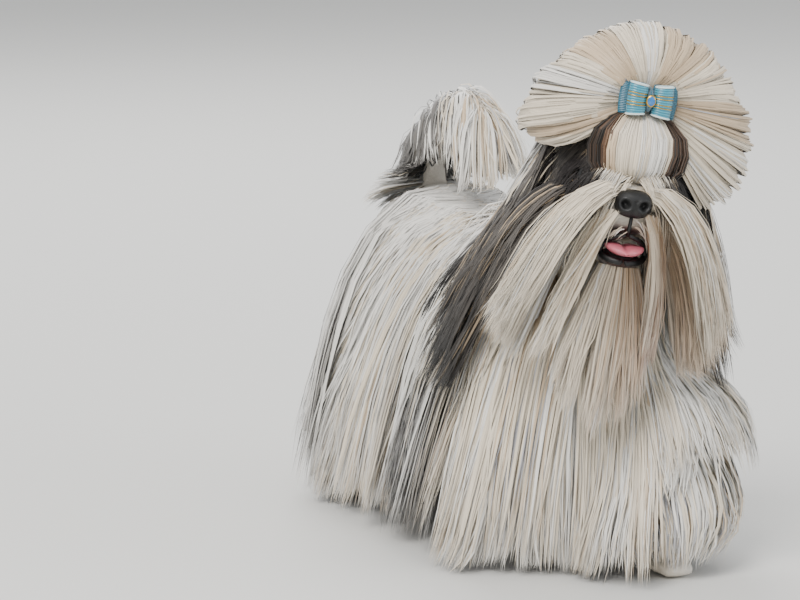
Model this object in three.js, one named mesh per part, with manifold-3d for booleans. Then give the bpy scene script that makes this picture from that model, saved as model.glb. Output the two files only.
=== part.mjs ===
// A long-coated shih tzu in full show coat, walking, with its topknot tied in a ribbon bow.
// Millimetres, +Z up. The dog faces -Y, so its right side is at -X. The origin is on the
// floor, under the middle of the whole outline.
import * as THREE from "three";
import { mergeVertices } from "three/addons/utils/BufferGeometryUtils.js";
import Module from "manifold-3d";

const wasm = await Module();
wasm.setup();

// Driving dimensions
const GAP = 0.3; // clearance between two nodes that touch
const CHEST_END = -92; // the chest meets the torso here
const RUMP_START = 112; // the torso meets the rump here
const UNDERCOAT = 9; // depth of the dense undercoat over the skin
const HEM = 3; // the coat's tips stop this far above the floor

// The head: where the skull's centre is, and how the head is turned, tipped and tilted
const SKULL_AT = new THREE.Vector3(0, -172, 311);
const HEAD_YAW = THREE.MathUtils.degToRad(-18);
const HEAD_TIP = THREE.MathUtils.degToRad(0);
const HEAD_TILT = THREE.MathUtils.degToRad(9);

const V = (x, y, z) => new THREE.Vector3(x, y, z);
const SIDES = { right: -1, left: 1 };

// Ellipsoids of the body's flesh: centre and radii
const BODY_FORMS = [
  { at: V(0, -112, 178), radii: V(56, 56, 62) }, // forechest
  { at: V(0, -55, 184), radii: V(62, 104, 70) }, // rib cage
  { at: V(0, 62, 194), radii: V(55, 108, 58) }, // loin
  { at: V(0, 140, 192), radii: V(60, 66, 64) }, // rump
];

// Distance to an ellipsoid, close enough near its surface, negative inside
function ellipsoidDistance(p, form) {
  const q = p.clone().sub(form.at);
  const k0 = q.clone().divide(form.radii).length();
  const k1 = q.clone().divide(form.radii).divide(form.radii).length();
  return k1 < 1e-9 ? -form.radii.x : (k0 * (k0 - 1)) / k1;
}

// Smooth union of the ellipsoids' distances
const BLEND = 14;
function formDistance(p, forms) {
  let sum = 0;
  for (const form of forms) sum += Math.exp(-ellipsoidDistance(p, form) / BLEND);
  return -BLEND * Math.log(sum);
}

// How far along a ray from a point inside the forms their offset surface lies
function rayToForms(from, direction, forms, offset) {
  let near = 0;
  let far = 260;
  for (let step = 0; step < 26; step += 1) {
    const middle = (near + far) / 2;
    const p = from.clone().addScaledVector(direction, middle);
    if (formDistance(p, forms) < offset) near = middle;
    else far = middle;
  }
  return near;
}

// A closed loft: place(u, angle, spread) gives the point of ring u (0 to 1) at that angle,
// and spread runs from 0 at the middle of an end cap to 1 on the skin
function loft(rings, sides, place) {
  const shape = new THREE.CylinderGeometry(1, 1, 1, sides, rings);
  const at = shape.getAttribute("position");
  for (let i = 0; i < at.count; i += 1) {
    const [x, y, z] = [at.getX(i), at.getY(i), at.getZ(i)];
    const p = place(0.5 - y, Math.atan2(x, z), Math.hypot(x, z));
    at.setXYZ(i, p.x, p.y, p.z);
  }
  return shape;
}

// A closed three.js geometry as a solid
function solid(geometry, weld = 1e-4) {
  const bare = new THREE.BufferGeometry().setAttribute("position", geometry.getAttribute("position"));
  if (geometry.index) bare.setIndex(geometry.index);
  const merged = mergeVertices(bare, weld);
  const made = new wasm.Manifold(
    new wasm.Mesh({
      numProp: 3,
      vertProperties: Float32Array.from(merged.attributes.position.array),
      triVerts: Uint32Array.from(merged.index.array),
    }),
  );
  if (made.volume() >= 0) return made;
  const turned = Uint32Array.from(merged.index.array);
  for (let i = 0; i < turned.length; i += 3) [turned[i + 1], turned[i + 2]] = [turned[i + 2], turned[i + 1]];
  return new wasm.Manifold(
    new wasm.Mesh({
      numProp: 3,
      vertProperties: Float32Array.from(merged.attributes.position.array),
      triVerts: turned,
    }),
  );
}

// A box from its lowest to its highest corner
function block(low, high) {
  const size = high.clone().sub(low);
  const middle = low.clone().add(high).multiplyScalar(0.5);
  return solid(new THREE.BoxGeometry(size.x, size.y, size.z).translate(middle.x, middle.y, middle.z));
}

// An ellipsoid with flat facets, optionally turned
function ball(at, radii, around = 20, down = 12) {
  return solid(
    new THREE.SphereGeometry(1, around, down)
      .rotateX(Math.PI / 2)
      .scale(radii.x, radii.y, radii.z)
      .translate(at.x, at.y, at.z),
  );
}

// The largest closed surface of a solid
function largest(shape) {
  return shape.decompose().sort((a, b) => b.volume() - a.volume())[0];
}

// Straight lines between the rows of a table of [position, value, value, ...]
function follow(table, position) {
  const last = table.length - 1;
  if (position <= table[0][0]) return table[0].slice(1);
  if (position >= table[last][0]) return table[last].slice(1);
  const next = table.findIndex((row) => row[0] >= position);
  const [a, b] = [table[next - 1], table[next]];
  const share = THREE.MathUtils.smoothstep(position, a[0], b[0]) * 0.5 + ((position - a[0]) / (b[0] - a[0])) * 0.5;
  return a.slice(1).map((value, i) => THREE.MathUtils.lerp(value, b[i + 1], share));
}

// A seeded random number from 0 to 1, and one spread about a value
let seed = 20260;
function random() {
  seed = (seed * 16807) % 2147483647;
  return seed / 2147483647;
}
const vary = (value, share) => value * (1 + (2 * random() - 1) * share);

// Direction away from the forms at a point
function outward(p, forms) {
  const step = 1.5;
  const here = formDistance(p, forms);
  return V(
    formDistance(V(p.x + step, p.y, p.z), forms) - here,
    formDistance(V(p.x, p.y + step, p.z), forms) - here,
    formDistance(V(p.x, p.y, p.z + step), forms) - here,
  ).normalize();
}

// The path of a lock that leaves its root along a direction, bends towards the pull of its
// weight and the wind, and rests on the forms, rising from one depth over them to another
const PATH_STEPS = 12;
function drape(root, start, length, { pull, fall = 0.3, rise = [4, 14], forms, floor = HEM }) {
  const points = [root.clone()];
  const along = start.clone().normalize();
  const drag = pull.clone().normalize();
  const step = length / PATH_STEPS;
  for (let i = 1; i <= PATH_STEPS; i += 1) {
    along.lerp(drag, fall).normalize();
    const last = points.at(-1);
    const next = last.clone().addScaledVector(along, step);
    const depth = THREE.MathUtils.lerp(rise[0], rise[1], i / PATH_STEPS);
    for (let push = 0; push < 2; push += 1) {
      const distance = formDistance(next, forms);
      if (distance < depth) next.addScaledVector(outward(next, forms), depth - distance);
    }
    if (next.z < floor) {
      const share = (last.z - floor) / Math.max(last.z - next.z, 0.01);
      if (share > 0.3) points.push(last.clone().lerp(next, share));
      break;
    }
    along.copy(next).sub(last).normalize();
    points.push(next);
  }
  return points;
}

// A flat, tapered lock along a path: a flat face towards the forms and a low ridge outside
const RING_STEP = 50; // length of lock to each ring of its section
const FLAT_AT = 0.6; // the share of a lock's length where it lies flattest on the forms
const FOLLOW_SHARE = 0.4; // how fast its flat side turns to the forms from there
const LOCK_SECTION = [[0, 1], [1, 0], [-1, 0]]; // across and up, for each corner of the section
function acrossAlong(curve, out, rings) {
  const found = [];
  const first = Math.round(FLAT_AT * rings);
  for (const [from, to, step] of [[first, rings + 1, 1], [first - 1, -1, -1]]) {
    let last = found[first];
    for (let i = from; i !== to; i += step) {
      const along = curve.getTangentAt(i / rings);
      const flat = along.clone().cross(out(curve.getPointAt(i / rings)));
      if (last) flat.multiplyScalar(FOLLOW_SHARE).add(last);
      last = flat.addScaledVector(along, -flat.dot(along)).normalize();
      found[i] = last;
    }
  }
  return found;
}
function lock(path, out, width, thick, rootShare = 0.7) {
  const curve = new THREE.CatmullRomCurve3(path);
  const rings = THREE.MathUtils.clamp(Math.round(curve.getLength() / RING_STEP), 3, 5);
  const shape = new THREE.ConeGeometry(1, 1, LOCK_SECTION.length, rings);
  const at = shape.getAttribute("position");
  const sideways = acrossAlong(curve, out, rings);
  for (let i = 0; i < at.count; i += 1) {
    const u = Math.min(1, at.getY(i) + 0.5);
    const onAxis = Math.hypot(at.getX(i), at.getZ(i)) < 1e-4;
    const corner = (Math.round(Math.atan2(at.getX(i), at.getZ(i)) / ((2 * Math.PI) / 3)) + 3) % 3;
    const [side, high] = onAxis ? [0, 0.3] : LOCK_SECTION[corner];
    const here = curve.getPointAt(u);
    const along = curve.getTangentAt(u);
    const across = sideways[Math.round(u * rings)];
    const up = across.clone().cross(along);
    const taper = u < 0.5 ? rootShare + (1 - rootShare) * (u / 0.5) : 1 - ((u - 0.5) / 0.5) ** 2;
    here.addScaledVector(across, 0.5 * width * taper * side);
    here.addScaledVector(up, thick * Math.min(1, 1.8 * taper) * high);
    at.setXYZ(i, here.x, here.y, here.z);
  }
  return solid(shape);
}

// Core and locks as one closed body
function fuse(core, locks) {
  return largest(wasm.Manifold.union([core, ...locks]));
}

// The dense body under the long coat, a loft over the flesh
const BODY_FROM = V(0, -176, 180);
const BODY_TO = V(0, 213, 194);
function bodyForm() {
  return solid(
    loft(10, 12, (u, angle, spread) => {
      const eased = 0.5 - 0.5 * Math.cos(Math.PI * u);
      const axis = BODY_FROM.clone().lerp(BODY_TO, eased);
      const ray = V(Math.sin(angle), 0, Math.cos(angle));
      const reach = formDistance(axis, BODY_FORMS) < UNDERCOAT ? rayToForms(axis, ray, BODY_FORMS, UNDERCOAT) : 0;
      return axis.addScaledVector(ray, Math.max(reach, 0.5) * spread);
    }),
  );
}

// A limb as a round column along a curve, with a flat end on the floor
function limbForm(points, radii) {
  const curve = new THREE.CatmullRomCurve3(points);
  return solid(
    loft(5, 9, (u, angle, spread) => {
      const at = curve.getPoint(u);
      const [radius] = follow(radii, u);
      const r = radius * spread;
      return V(at.x + r * Math.cos(angle), at.y + r * Math.sin(angle), at.z);
    }),
  );
}

// Each leg: its joints from the shoulder or hip down to the paw, the core's radius along it,
// and how far its hair swells out
const LEG_RADII = [[0, 22], [0.4, 30], [0.75, 30], [0.9, 30], [1, 25]];
const LEGS = {
  foreleg_left: { joints: [V(44, -112, 138), V(46, -152, 96), V(40, -180, 50), V(33, -188, 0)], swell: 62, top: 0.16 },
  foreleg_right: { joints: [V(-42, -104, 138), V(-46, -96, 92), V(-42, -90, 50), V(-34, -88, 0)], swell: 48, top: 0.3 },
  hindleg_right: { joints: [V(-44, 140, 150), V(-48, 124, 100), V(-46, 140, 50), V(-44, 120, 0)], swell: 42, top: 0.34 },
  hindleg_left: { joints: [V(44, 150, 150), V(48, 142, 100), V(46, 180, 50), V(44, 178, 0)], swell: 42, top: 0.34 },
};

// The space that each leg's hair fills, which the body's locks lie round
const LEG_FORMS = Object.values(LEGS).flatMap((leg) => {
  const [, knee, cannon, paw] = leg.joints;
  return [
    { at: knee.clone().lerp(cannon, 0.1), radii: V(leg.swell + 4, leg.swell + 4, 60) },
    { at: cannon.clone().lerp(paw, 0.5), radii: V(leg.swell + 6, leg.swell + 6, 46) },
  ];
});
const UNDER_FORMS = [...BODY_FORMS, ...LEG_FORMS];

// Head frame to world frame
const headMatrix = new THREE.Matrix4()
  .makeRotationFromEuler(new THREE.Euler(HEAD_TIP, HEAD_TILT, HEAD_YAW, "ZXY"))
  .setPosition(SKULL_AT);
const toWorld = (p) => p.clone().applyMatrix4(headMatrix);
const turned = (shape) => shape.transform(headMatrix.elements);

// A solid grown by a clearance, each corner moved out along its normal
function grown(shape, clearance) {
  const geometry = geometryOf(shape);
  geometry.computeVertexNormals();
  const [at, normal] = [geometry.getAttribute("position"), geometry.getAttribute("normal")];
  for (let i = 0; i < at.count; i += 1) {
    at.setXYZ(
      i,
      at.getX(i) + normal.getX(i) * clearance,
      at.getY(i) + normal.getY(i) * clearance,
      at.getZ(i) + normal.getZ(i) * clearance,
    );
  }
  return solid(geometry);
}

// A solid's surface as a three.js geometry with shared corners
function geometryOf(shape) {
  const mesh = shape.getMesh();
  const positions = new Float32Array(mesh.numVert * 3);
  for (let i = 0; i < mesh.numVert; i += 1) {
    positions.set(mesh.vertProperties.subarray(i * mesh.numProp, i * mesh.numProp + 3), i * 3);
  }
  return new THREE.BufferGeometry()
    .setAttribute("position", new THREE.BufferAttribute(positions, 3))
    .setIndex(new THREE.BufferAttribute(Uint32Array.from(mesh.triVerts), 1));
}

// Whether two sheets of a solid only touch along an edge, which then has four faces
function pinched(shape) {
  const bare = mergeVertices(geometryOf(shape), 1e-3);
  const corners = bare.index.array;
  const seen = new Set();
  for (let i = 0; i < corners.length; i += 1) {
    const key = corners[i] + " " + corners[i % 3 === 2 ? i - 2 : i + 1];
    if (seen.has(key)) return true;
    seen.add(key);
  }
  return false;
}

// A solid with the closest corners of its cuts welded, or nothing where its sheets touch
const WELDS = [2e-3, 8e-3, 2e-2];
function welded(shape) {
  for (const weld of WELDS) {
    try {
      const made = largest(solid(geometryOf(shape), weld));
      if (!pinched(made)) return made;
    } catch {
      // corners this close can't be welded at this distance, so the next one is tried
    }
  }
  return null;
}

// The nodes in order: each is cut clear of all that were set before it
const CLEARANCES = [1.5, 1.35, 1.65, 1.8, 1.25, 1.95].map((share) => share * GAP);
const solids = {};
function set(name, shape) {
  for (const clearance of CLEARANCES) {
    let made = shape;
    for (const other of Object.values(solids)) {
      const wide = grown(other, clearance);
      if (made.intersect(wide).volume() > 1e-4) made = made.subtract(wide).subtract(other);
    }
    made = welded(largest(made));
    if (made) {
      solids[name] = made;
      return;
    }
  }
  throw new Error("the surface of " + name + " touches itself");
}

// Head, neck and body as the forms that hair lies on, in the world frame
const HEAD_FORMS = [
  { at: V(0, 0, 0), radii: V(44, 50, 42) },
  { at: V(0, -26, -20), radii: V(38, 36, 30) },
  { at: V(0, -50, -20), radii: V(27, 28, 22) },
].map((form) => ({ at: toWorld(form.at), radii: form.radii }));
const NECK_FORMS = [
  { at: V(0, -118, 240), radii: V(44, 46, 44) },
  { at: V(0, -138, 276), radii: V(38, 40, 40) },
];
const FRONT_FORMS = [...BODY_FORMS, ...NECK_FORMS, ...HEAD_FORMS];
const turn = (d) => d.clone().transformDirection(headMatrix);

// Face: nose with its nostrils, eyes and tongue
const nostril = (side) => ball(V(side * 6.5, -89.5, -15), V(2.6, 4, 3.4), 6, 4);
const NOSE_AT = V(0, -80, -14);
set("nose", turned(ball(NOSE_AT, V(14, 10, 10.5), 12, 8).subtract(nostril(-1)).subtract(nostril(1))));
const EYE_AT = (side) => V(side * 27, -45, -1);
const EYE = 10.5;
for (const [name, side] of Object.entries(SIDES)) set("eye_" + name, turned(ball(EYE_AT(side), V(EYE, EYE, EYE), 10, 6)));
set("tongue", turned(ball(V(0, -68, -49), V(13, 18, 3.6), 10, 6)));

// The bow: two pairs of ribbon loops on a knot, on the front of the topknot
const BOW_AT = V(2, -66, 62);
const RIBBON_TALL = 24;
function loopForm(side, out, deep, tall, back) {
  const outline = new THREE.Shape();
  outline.absellipse(0, 0, out / 2, deep / 2, 0, Math.PI * 2);
  const hole = new THREE.Path();
  hole.absellipse(0, 0, out / 2 - 1, deep / 2 - 1, 0, Math.PI * 2);
  outline.holes.push(hole);
  return solid(
    new THREE.ExtrudeGeometry(outline, { depth: tall, bevelEnabled: false, curveSegments: 6 }).translate(
      BOW_AT.x + side * (out / 2 + 2.4),
      BOW_AT.y + back,
      BOW_AT.z - tall / 2,
    ),
  );
}
set(
  "bow_knot",
  turned(
    solid(new THREE.CylinderGeometry(3.2, 3.2, 22, 10).rotateX(Math.PI / 2).translate(BOW_AT.x, BOW_AT.y + 7, BOW_AT.z)),
  ),
);
for (const [name, side] of Object.entries(SIDES)) {
  set("bow_loop_" + name, turned(loopForm(side, 15, 10, RIBBON_TALL, 0)));
  set("bow_back_" + name, turned(loopForm(side, 20, 6, RIBBON_TALL + 2, 8.6)));
}

// The lips, a ring round the open mouth that parts into an upper and a lower half
const lipRing = solid(
  new THREE.TorusGeometry(17, 2.6, 5, 12).rotateX(Math.PI / 2).scale(1, 1, 0.58).translate(0, -76, -49),
);
const upperLip = lipRing.intersect(block(V(-40, -120, -48), V(40, -40, 0)));
const lowerLip = lipRing.intersect(block(V(-40, -120, -80), V(40, -40, -49)));

// Head: skull, cheeks and muzzle with lids round the eyes, lips, moustache and cheek hair
const lid = (side) =>
  solid(
    new THREE.TorusGeometry(EYE * 0.86, 2.6, 4, 8).rotateX(Math.PI / 2 - 0.1).rotateZ(side * 0.38).translate(
      EYE_AT(side).x + side * 2.6,
      EYE_AT(side).y - 6.4,
      EYE_AT(side).z,
    ),
  );
const skullForm = ball(V(0, 0, 0), V(46, 50, 43), 12, 8);
const mouthHollow = ball(V(0, -66, -47), V(19, 26, 10), 10, 6);
const headCore = skullForm
  .add(ball(V(0, -26, -20), V(41, 37, 32), 12, 8))
  .add(ball(V(0, -50, -22), V(29, 28, 22), 12, 7))
  .subtract(mouthHollow)
  .add(upperLip)
  .add(lid(-1))
  .add(lid(1));
const headLocks = [];
const MOUSTACHE = { right: V(-0.3, 0.4, -1), left: V(0.2, 0.14, -1) };
for (const [name, side] of Object.entries(SIDES)) {
  for (let i = 0; i < 7; i += 1) {
    const share = i / 6;
    const root = toWorld(V(side * (6 + 19 * share), -64 + 10 * share, 2 - 38 * share * share));
    const start = turn(V(side, 0.05 + 0.1 * share, 0.3 - 0.9 * share));
    const path = drape(root, start, vary(132 - 18 * share, 0.06), {
      pull: MOUSTACHE[name],
      fall: 0.22,
      rise: [3, 17 - 4 * share],
      forms: FRONT_FORMS,
    });
    headLocks.push(lock(path, (p) => outward(p, FRONT_FORMS), 19, 6, 0.5));
  }
  for (let i = 0; i < 2; i += 1) {
    const root = toWorld(V(side * 36, -24 + i * 24, -12 - i * 3));
    const path = drape(root, turn(V(side, 0.1, -0.6)), vary(125, 0.06), {
      pull: MOUSTACHE[name],
      fall: 0.24,
      rise: [3, 16],
      forms: FRONT_FORMS,
    });
    headLocks.push(lock(path, (p) => outward(p, FRONT_FORMS), 24, 6));
  }
}
set("head", fuse(turned(headCore), headLocks));

// Forelock: a pouf from the bridge of the nose up to the band, locks over a core
const BAND_AT = V(2, -46, 60);
const forelockLocks = [];
for (let i = 0; i < 6; i += 1) {
  const share = i / 5 - 0.5;
  const lean = share * 2.3;
  const bulge = Math.cos(lean * 0.8);
  const path = [
    V(share * 22, -50, 2),
    V(Math.sin(lean) * 21, -54 - 15 * bulge, 8),
    V(Math.sin(lean) * 25, -56 - 17 * bulge, 24),
    V(Math.sin(lean) * 22, -55 - 13 * bulge, 40),
    V(share * 10, -50, 46),
  ];
  const centre = V(0, -40, 22);
  forelockLocks.push(lock(path, (p) => p.clone().sub(centre).normalize(), 19, 6));
}
set("forelock", turned(fuse(ball(V(0, -50, 23), V(23, 22, 26), 12, 8), forelockLocks)));

// Topknot: locks fan out from the band and curl back, over a core at half their reach
const FAN_REACH = [[-122, 84], [-108, 94], [-95, 90], [-70, 66], [-40, 52], [-10, 52], [30, 57], [60, 66], [97, 80], [118, 88], [142, 90]];
const FAN_BENDS = [[0.08, 18, 0], [0.34, -10, 0], [0.8, -6, 0], [1, 14, 0], [1.02, 44, -4], [0.86, 72, -12]];
function fanPath(degrees, scale, back) {
  const a = THREE.MathUtils.degToRad(degrees);
  const [reach] = follow(FAN_REACH, degrees);
  return FAN_BENDS.map(([out, deep, drop]) =>
    V(
      BAND_AT.x + Math.sin(a) * reach * scale * out,
      BAND_AT.y + deep + back * out,
      BAND_AT.z + Math.cos(a) * reach * scale * out + drop,
    ),
  );
}
const fanCentre = V(0, 10, 40);
const fanOut = (p) => p.clone().sub(fanCentre).normalize();
const topknotLocks = [];
for (let i = 0; i < 12; i += 1) {
  const degrees = -118 + (256 * i) / 11;
  topknotLocks.push(lock(fanPath(degrees, vary(1, 0.02), 0), fanOut, vary(38, 0.06), 8, 0.3));
}
for (let i = 0; i < 6; i += 1) {
  const degrees = -85 + (190 * i) / 5;
  topknotLocks.push(lock(fanPath(degrees, vary(0.78, 0.04), 24), fanOut, vary(44, 0.06), 8, 0.3));
}
const topknotCore = ball(V(0, 4, 50), V(44, 50, 36), 12, 8);
set("topknot", turned(fuse(topknotCore, topknotLocks)));

// Ears: a leather flap, hollowed to a cup on its inner face, with long locks
const EARS = {
  right: { pull: V(-0.1, 0.62, -1), reach: 178 },
  left: { pull: V(0.2, 0.3, -1), reach: 146 },
};
for (const [name, side] of Object.entries(SIDES)) {
  const flap = ball(V(side * 55, 12, -12), V(8, 26, 40), 10, 7);
  const cup = ball(V(side * 46, 12, -12), V(7, 17, 28), 8, 6);
  const locks = [];
  for (let i = 0; i < 7; i += 1) {
    const low = i < 4 ? 0 : 1;
    const share = low ? (i - 4) / 2 - 0.5 : i / 3 - 0.5;
    const root = toWorld(V(side * 55, 12 + share * (low ? 34 : 40), low ? -34 : 4));
    const start = turn(V(side * (0.35 + 0.25 * low), share * 0.5, -1));
    const path = drape(root, start, vary(EARS[name].reach - low * 30, 0.06), {
      pull: EARS[name].pull,
      fall: 0.16,
      rise: [14, 36 - 10 * low],
      forms: FRONT_FORMS,
    });
    locks.push(lock(path, (p) => outward(p, FRONT_FORMS), vary(26, 0.06), 6, 0.5));
  }
  set("ear_" + name, fuse(turned(flap.subtract(cup)), locks));
}

// Lower jaw with its lip, and the beard that hangs from it
const jawCore = ball(V(0, -58, -59), V(18, 21, 8), 10, 6).add(lowerLip);
const beardLocks = [];
for (let i = 0; i < 6; i += 1) {
  const share = i / 5 - 0.5;
  const root = toWorld(V(share * 26, -62 + Math.abs(share) * 14, -62));
  const path = drape(root, turn(V(share * 0.9, -0.35, -1)), vary(98, 0.08), {
    pull: V(share * 0.3 - 0.12, 0.18, -1),
    fall: 0.15,
    rise: [4, 26],
    forms: FRONT_FORMS,
  });
  beardLocks.push(lock(path, (p) => outward(p, FRONT_FORMS), 17, 6, 0.5));
}
set("lower_jaw", fuse(turned(jawCore), beardLocks));

// Neck with its mane, from inside the shoulders up into the back of the head
const NECK_LINE = [V(0, -104, 225), V(0, -122, 252), V(0, -138, 278), V(0, -150, 296)];
const NECK_RADII = [[0, 46], [0.5, 44], [1, 36]];
const neckCurve = new THREE.CatmullRomCurve3(NECK_LINE);
const neckCore = solid(
  loft(4, 10, (u, angle, spread) => {
    const at = neckCurve.getPoint(u);
    const r = follow(NECK_RADII, u)[0] * spread;
    return V(at.x + r * Math.cos(angle), at.y + r * Math.sin(angle) * 0.9, at.z);
  }),
);
const neckLocks = [];
for (let row = 0; row < 2; row += 1) {
  for (let i = 0; i < 3; i += 1) {
    const angle = THREE.MathUtils.degToRad(0 + (180 * (i + row / 2)) / 2.5);
    const at = neckCurve.getPoint(0.7 - row * 0.4);
    const ray = V(Math.cos(angle), Math.sin(angle), 0);
    const root = at.clone().addScaledVector(ray, 30);
    const path = drape(root, V(ray.x, ray.y, -1.3), vary(100, 0.1), {
      pull: V(ray.x * 0.2, 0.3, -1),
      fall: 0.4,
      rise: [3, 9 - 5 * row],
      forms: UNDER_FORMS.concat(NECK_FORMS),
    });
    neckLocks.push(lock(path, (p) => outward(p, FRONT_FORMS), 44, 6, 0.5));
  }
}
set("neck", fuse(neckCore, neckLocks));

// Legs: a column with rows of locks that swell out like a bell over the paw
for (const [name, leg] of Object.entries(LEGS)) {
  const curve = new THREE.CatmullRomCurve3(leg.joints);
  const locks = [];
  [leg.top, 0.52].forEach((u, row) => {
    const at = curve.getPoint(u);
    const count = 7 - row;
    for (let i = 0; i < count; i += 1) {
      const angle = ((i + row / 2) / count) * Math.PI * 2;
      const ray = V(Math.cos(angle), Math.sin(angle), 0);
      const root = at.clone().addScaledVector(ray, 20);
      const swell = leg.swell - row * 14;
      const foot = curve.getPoint(0.8);
      const tip = V(foot.x + ray.x * (swell - 4), foot.y + ray.y * (swell - 4), vary(12, 0.6));
      const path = [
        root,
        at.clone().addScaledVector(ray, swell * 0.7).add(V(0, 0, -2)),
        at.clone().lerp(foot, 0.35).addScaledVector(ray, swell).add(V(0, 0, 2)),
        at.clone().lerp(foot, 0.7).addScaledVector(ray, swell * 1.02),
        tip,
      ];
      locks.push(lock(path, () => ray, leg.swell * (0.8 - row * 0.1), 8, 0.4));
    }
  });
  set(name, fuse(limbForm(leg.joints, LEG_RADII), locks));
}

// Tail: up from the rump and forward over the back, its plume falling mostly to the right
const TAIL_LINE = [V(0, 160, 230), V(2, 168, 270), V(2, 148, 312), V(0, 106, 335), V(-4, 62, 328)];
const TAIL_RADII = [[0, 13], [0.5, 10], [1, 6]];
const tailCurve = new THREE.CatmullRomCurve3(TAIL_LINE);
function tailForm(from, to, rings) {
  return solid(
    loft(rings, 8, (u, angle, spread) => {
      const t = THREE.MathUtils.lerp(from, to, u);
      const across = V(1, 0, 0);
      const out = across.clone().cross(tailCurve.getTangent(t)).normalize();
      const r = follow(TAIL_RADII, t)[0] * spread;
      return tailCurve
        .getPoint(t)
        .addScaledVector(across, r * Math.cos(angle))
        .addScaledVector(out, -r * Math.sin(angle));
    }),
  );
}
function tailLock(u, side, length) {
  const along = tailCurve.getTangent(u);
  const out = V(1, 0, 0).cross(along).normalize().multiplyScalar(-1);
  const start = V(side * 0.7, 0, 0).addScaledVector(out, 0.6).addScaledVector(along, 0.8);
  const heart = tailCurve.getPoint(u).add(V(0, 0, -40));
  const path = drape(tailCurve.getPoint(u), start, length, {
    pull: V(side * 0.25, -0.4, -1),
    fall: 0.26,
    rise: [5, 30],
    forms: BODY_FORMS,
  });
  return lock(path, (p) => p.clone().sub(heart).normalize(), 25, 6, 0.5);
}
const rootLocks = [];
for (let i = 0; i < 4; i += 1) rootLocks.push(tailLock(0.22 + 0.05 * i, i % 2 ? 1 : -1, vary(36, 0.1)));
set("tail_root", fuse(tailForm(0, 0.47, 6), rootLocks));
const plumeLocks = [];
for (let i = 0; i < 11; i += 1) {
  const side = i % 2 ? 1 : -1;
  plumeLocks.push(tailLock(0.52 + (0.46 * i) / 10, side, vary(60 + 3.6 * i, 0.08)));
}
set("tail_plume", fuse(tailForm(0.47, 1, 7), plumeLocks));

// Body: the chest, and the torso and rump in halves, each with rows of locks to the floor
const FAR = 600;
const half = 0.8 * GAP; // half of the gap between two parts of the body
const body = bodyForm();
const cutBody = (low, high) => body.intersect(block(low, high));
const toFloor = { fall: 0.3, forms: UNDER_FORMS };

// Locks rooted round a vertical axis: rows of [height, from, to, count, length], angles from
// the front in degrees, growing towards the dog's left
function ringLocks(centreY, rows, pull, width) {
  return rows.flatMap(([z, from, to, count, length], row) => {
    const made = [];
    for (let i = 0; i < count; i += 1) {
      const degrees = from + ((to - from) * (i + 0.5)) / count;
      const a = THREE.MathUtils.degToRad(degrees);
      const ray = V(Math.sin(a), -Math.cos(a), 0);
      const heart = V(0, centreY, z);
      const root = heart.clone().addScaledVector(ray, rayToForms(heart, ray, BODY_FORMS, UNDERCOAT - 7));
      const reach = centreY < 0 && ray.x > 0.15 ? 0.72 * length : length;
      const path = drape(root, V(ray.x, ray.y, -0.9), vary(reach, 0.05), {
        ...toFloor,
        pull: pull(ray),
        rise: [5, 16 - 6 * row],
        floor: vary(HEM + 8, 0.6),
      });
      made.push(lock(path, (p) => outward(p, UNDER_FORMS), vary(width, 0.05), 7));
    }
    return made;
  });
}

set(
  "chest",
  fuse(
    cutBody(V(-FAR, -FAR, -FAR), V(FAR, CHEST_END - half, FAR)),
    ringLocks(
      -116,
      [[224, -84, 84, 6, 200], [186, -90, 90, 6, 190], [150, -52, 52, 3, 130]],
      (ray) => V(ray.x * 0.14, 0.1, -1),
      34,
    ),
  ),
);
const FLANK_ROWS = [[16, 7, 290], [62, 7, 240], [98, 5, 150]];
for (const [name, side] of Object.entries(SIDES)) {
  const [low, high] = side < 0 ? [-FAR, -half] : [half, FAR];
  const locks = FLANK_ROWS.flatMap(([degrees, count, length], row) => {
    const a = THREE.MathUtils.degToRad(degrees);
    const made = [];
    for (let i = 0; i < count; i += 1) {
      const y = THREE.MathUtils.lerp(CHEST_END + 10, RUMP_START - 12, (i + (row % 2) / 2) / (count - 0.5));
      const heart = V(0, y, 188);
      const ray = V(side * Math.sin(a), 0, Math.cos(a));
      const root = heart.clone().addScaledVector(ray, rayToForms(heart, ray, BODY_FORMS, UNDERCOAT - 7));
      const path = drape(root, V(side * Math.cos(a), 0.2, -Math.sin(a)), vary(length, 0.04), {
        ...toFloor,
        pull: V(side * 0.1, 0.24, -1),
        rise: [2, 21 - row * 9],
        floor: vary(HEM + 6, 0.5),
      });
      made.push(lock(path, (p) => outward(p, UNDER_FORMS), vary(28, 0.05), 7));
    }
    return made;
  });
  set("torso_" + name, fuse(cutBody(V(low, CHEST_END + half, -FAR), V(high, RUMP_START - half, FAR)), locks));
}
for (const [name, side] of Object.entries(SIDES)) {
  const [low, high] = side < 0 ? [-FAR, -half] : [half, FAR];
  set(
    "rump_" + name,
    fuse(
      cutBody(V(low, RUMP_START + half, -FAR), V(high, FAR, FAR)),
      ringLocks(
        140,
        [[236, side * 84, side * 172, 4, 270], [198, side * 92, side * 166, 3, 230], [160, side * 88, side * 168, 3, 170]],
        (ray) => V(ray.x * 0.1, 0.05, -1),
        34,
      ),
    ),
  );
}

const part = new THREE.Group();
const COLOURS = { white: 0xe8e2d8, grey: 0x5c5650, black: 0x0c0b0c, pink: 0xb5566b, brown: 0x21130c, teal: 0x1f7d94 };
const finish = (colour, roughness) => new THREE.MeshStandardMaterial({ color: colour, roughness, metalness: 0 });
const FINISHES = {
  nose: finish(COLOURS.black, 0.4),
  eye: finish(COLOURS.brown, 0.1),
  tongue: finish(COLOURS.pink, 0.35),
  bow: finish(COLOURS.teal, 0.35),
  ear: finish(COLOURS.grey, 0.6),
};
const coatFinish = finish(COLOURS.white, 0.6);

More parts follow.
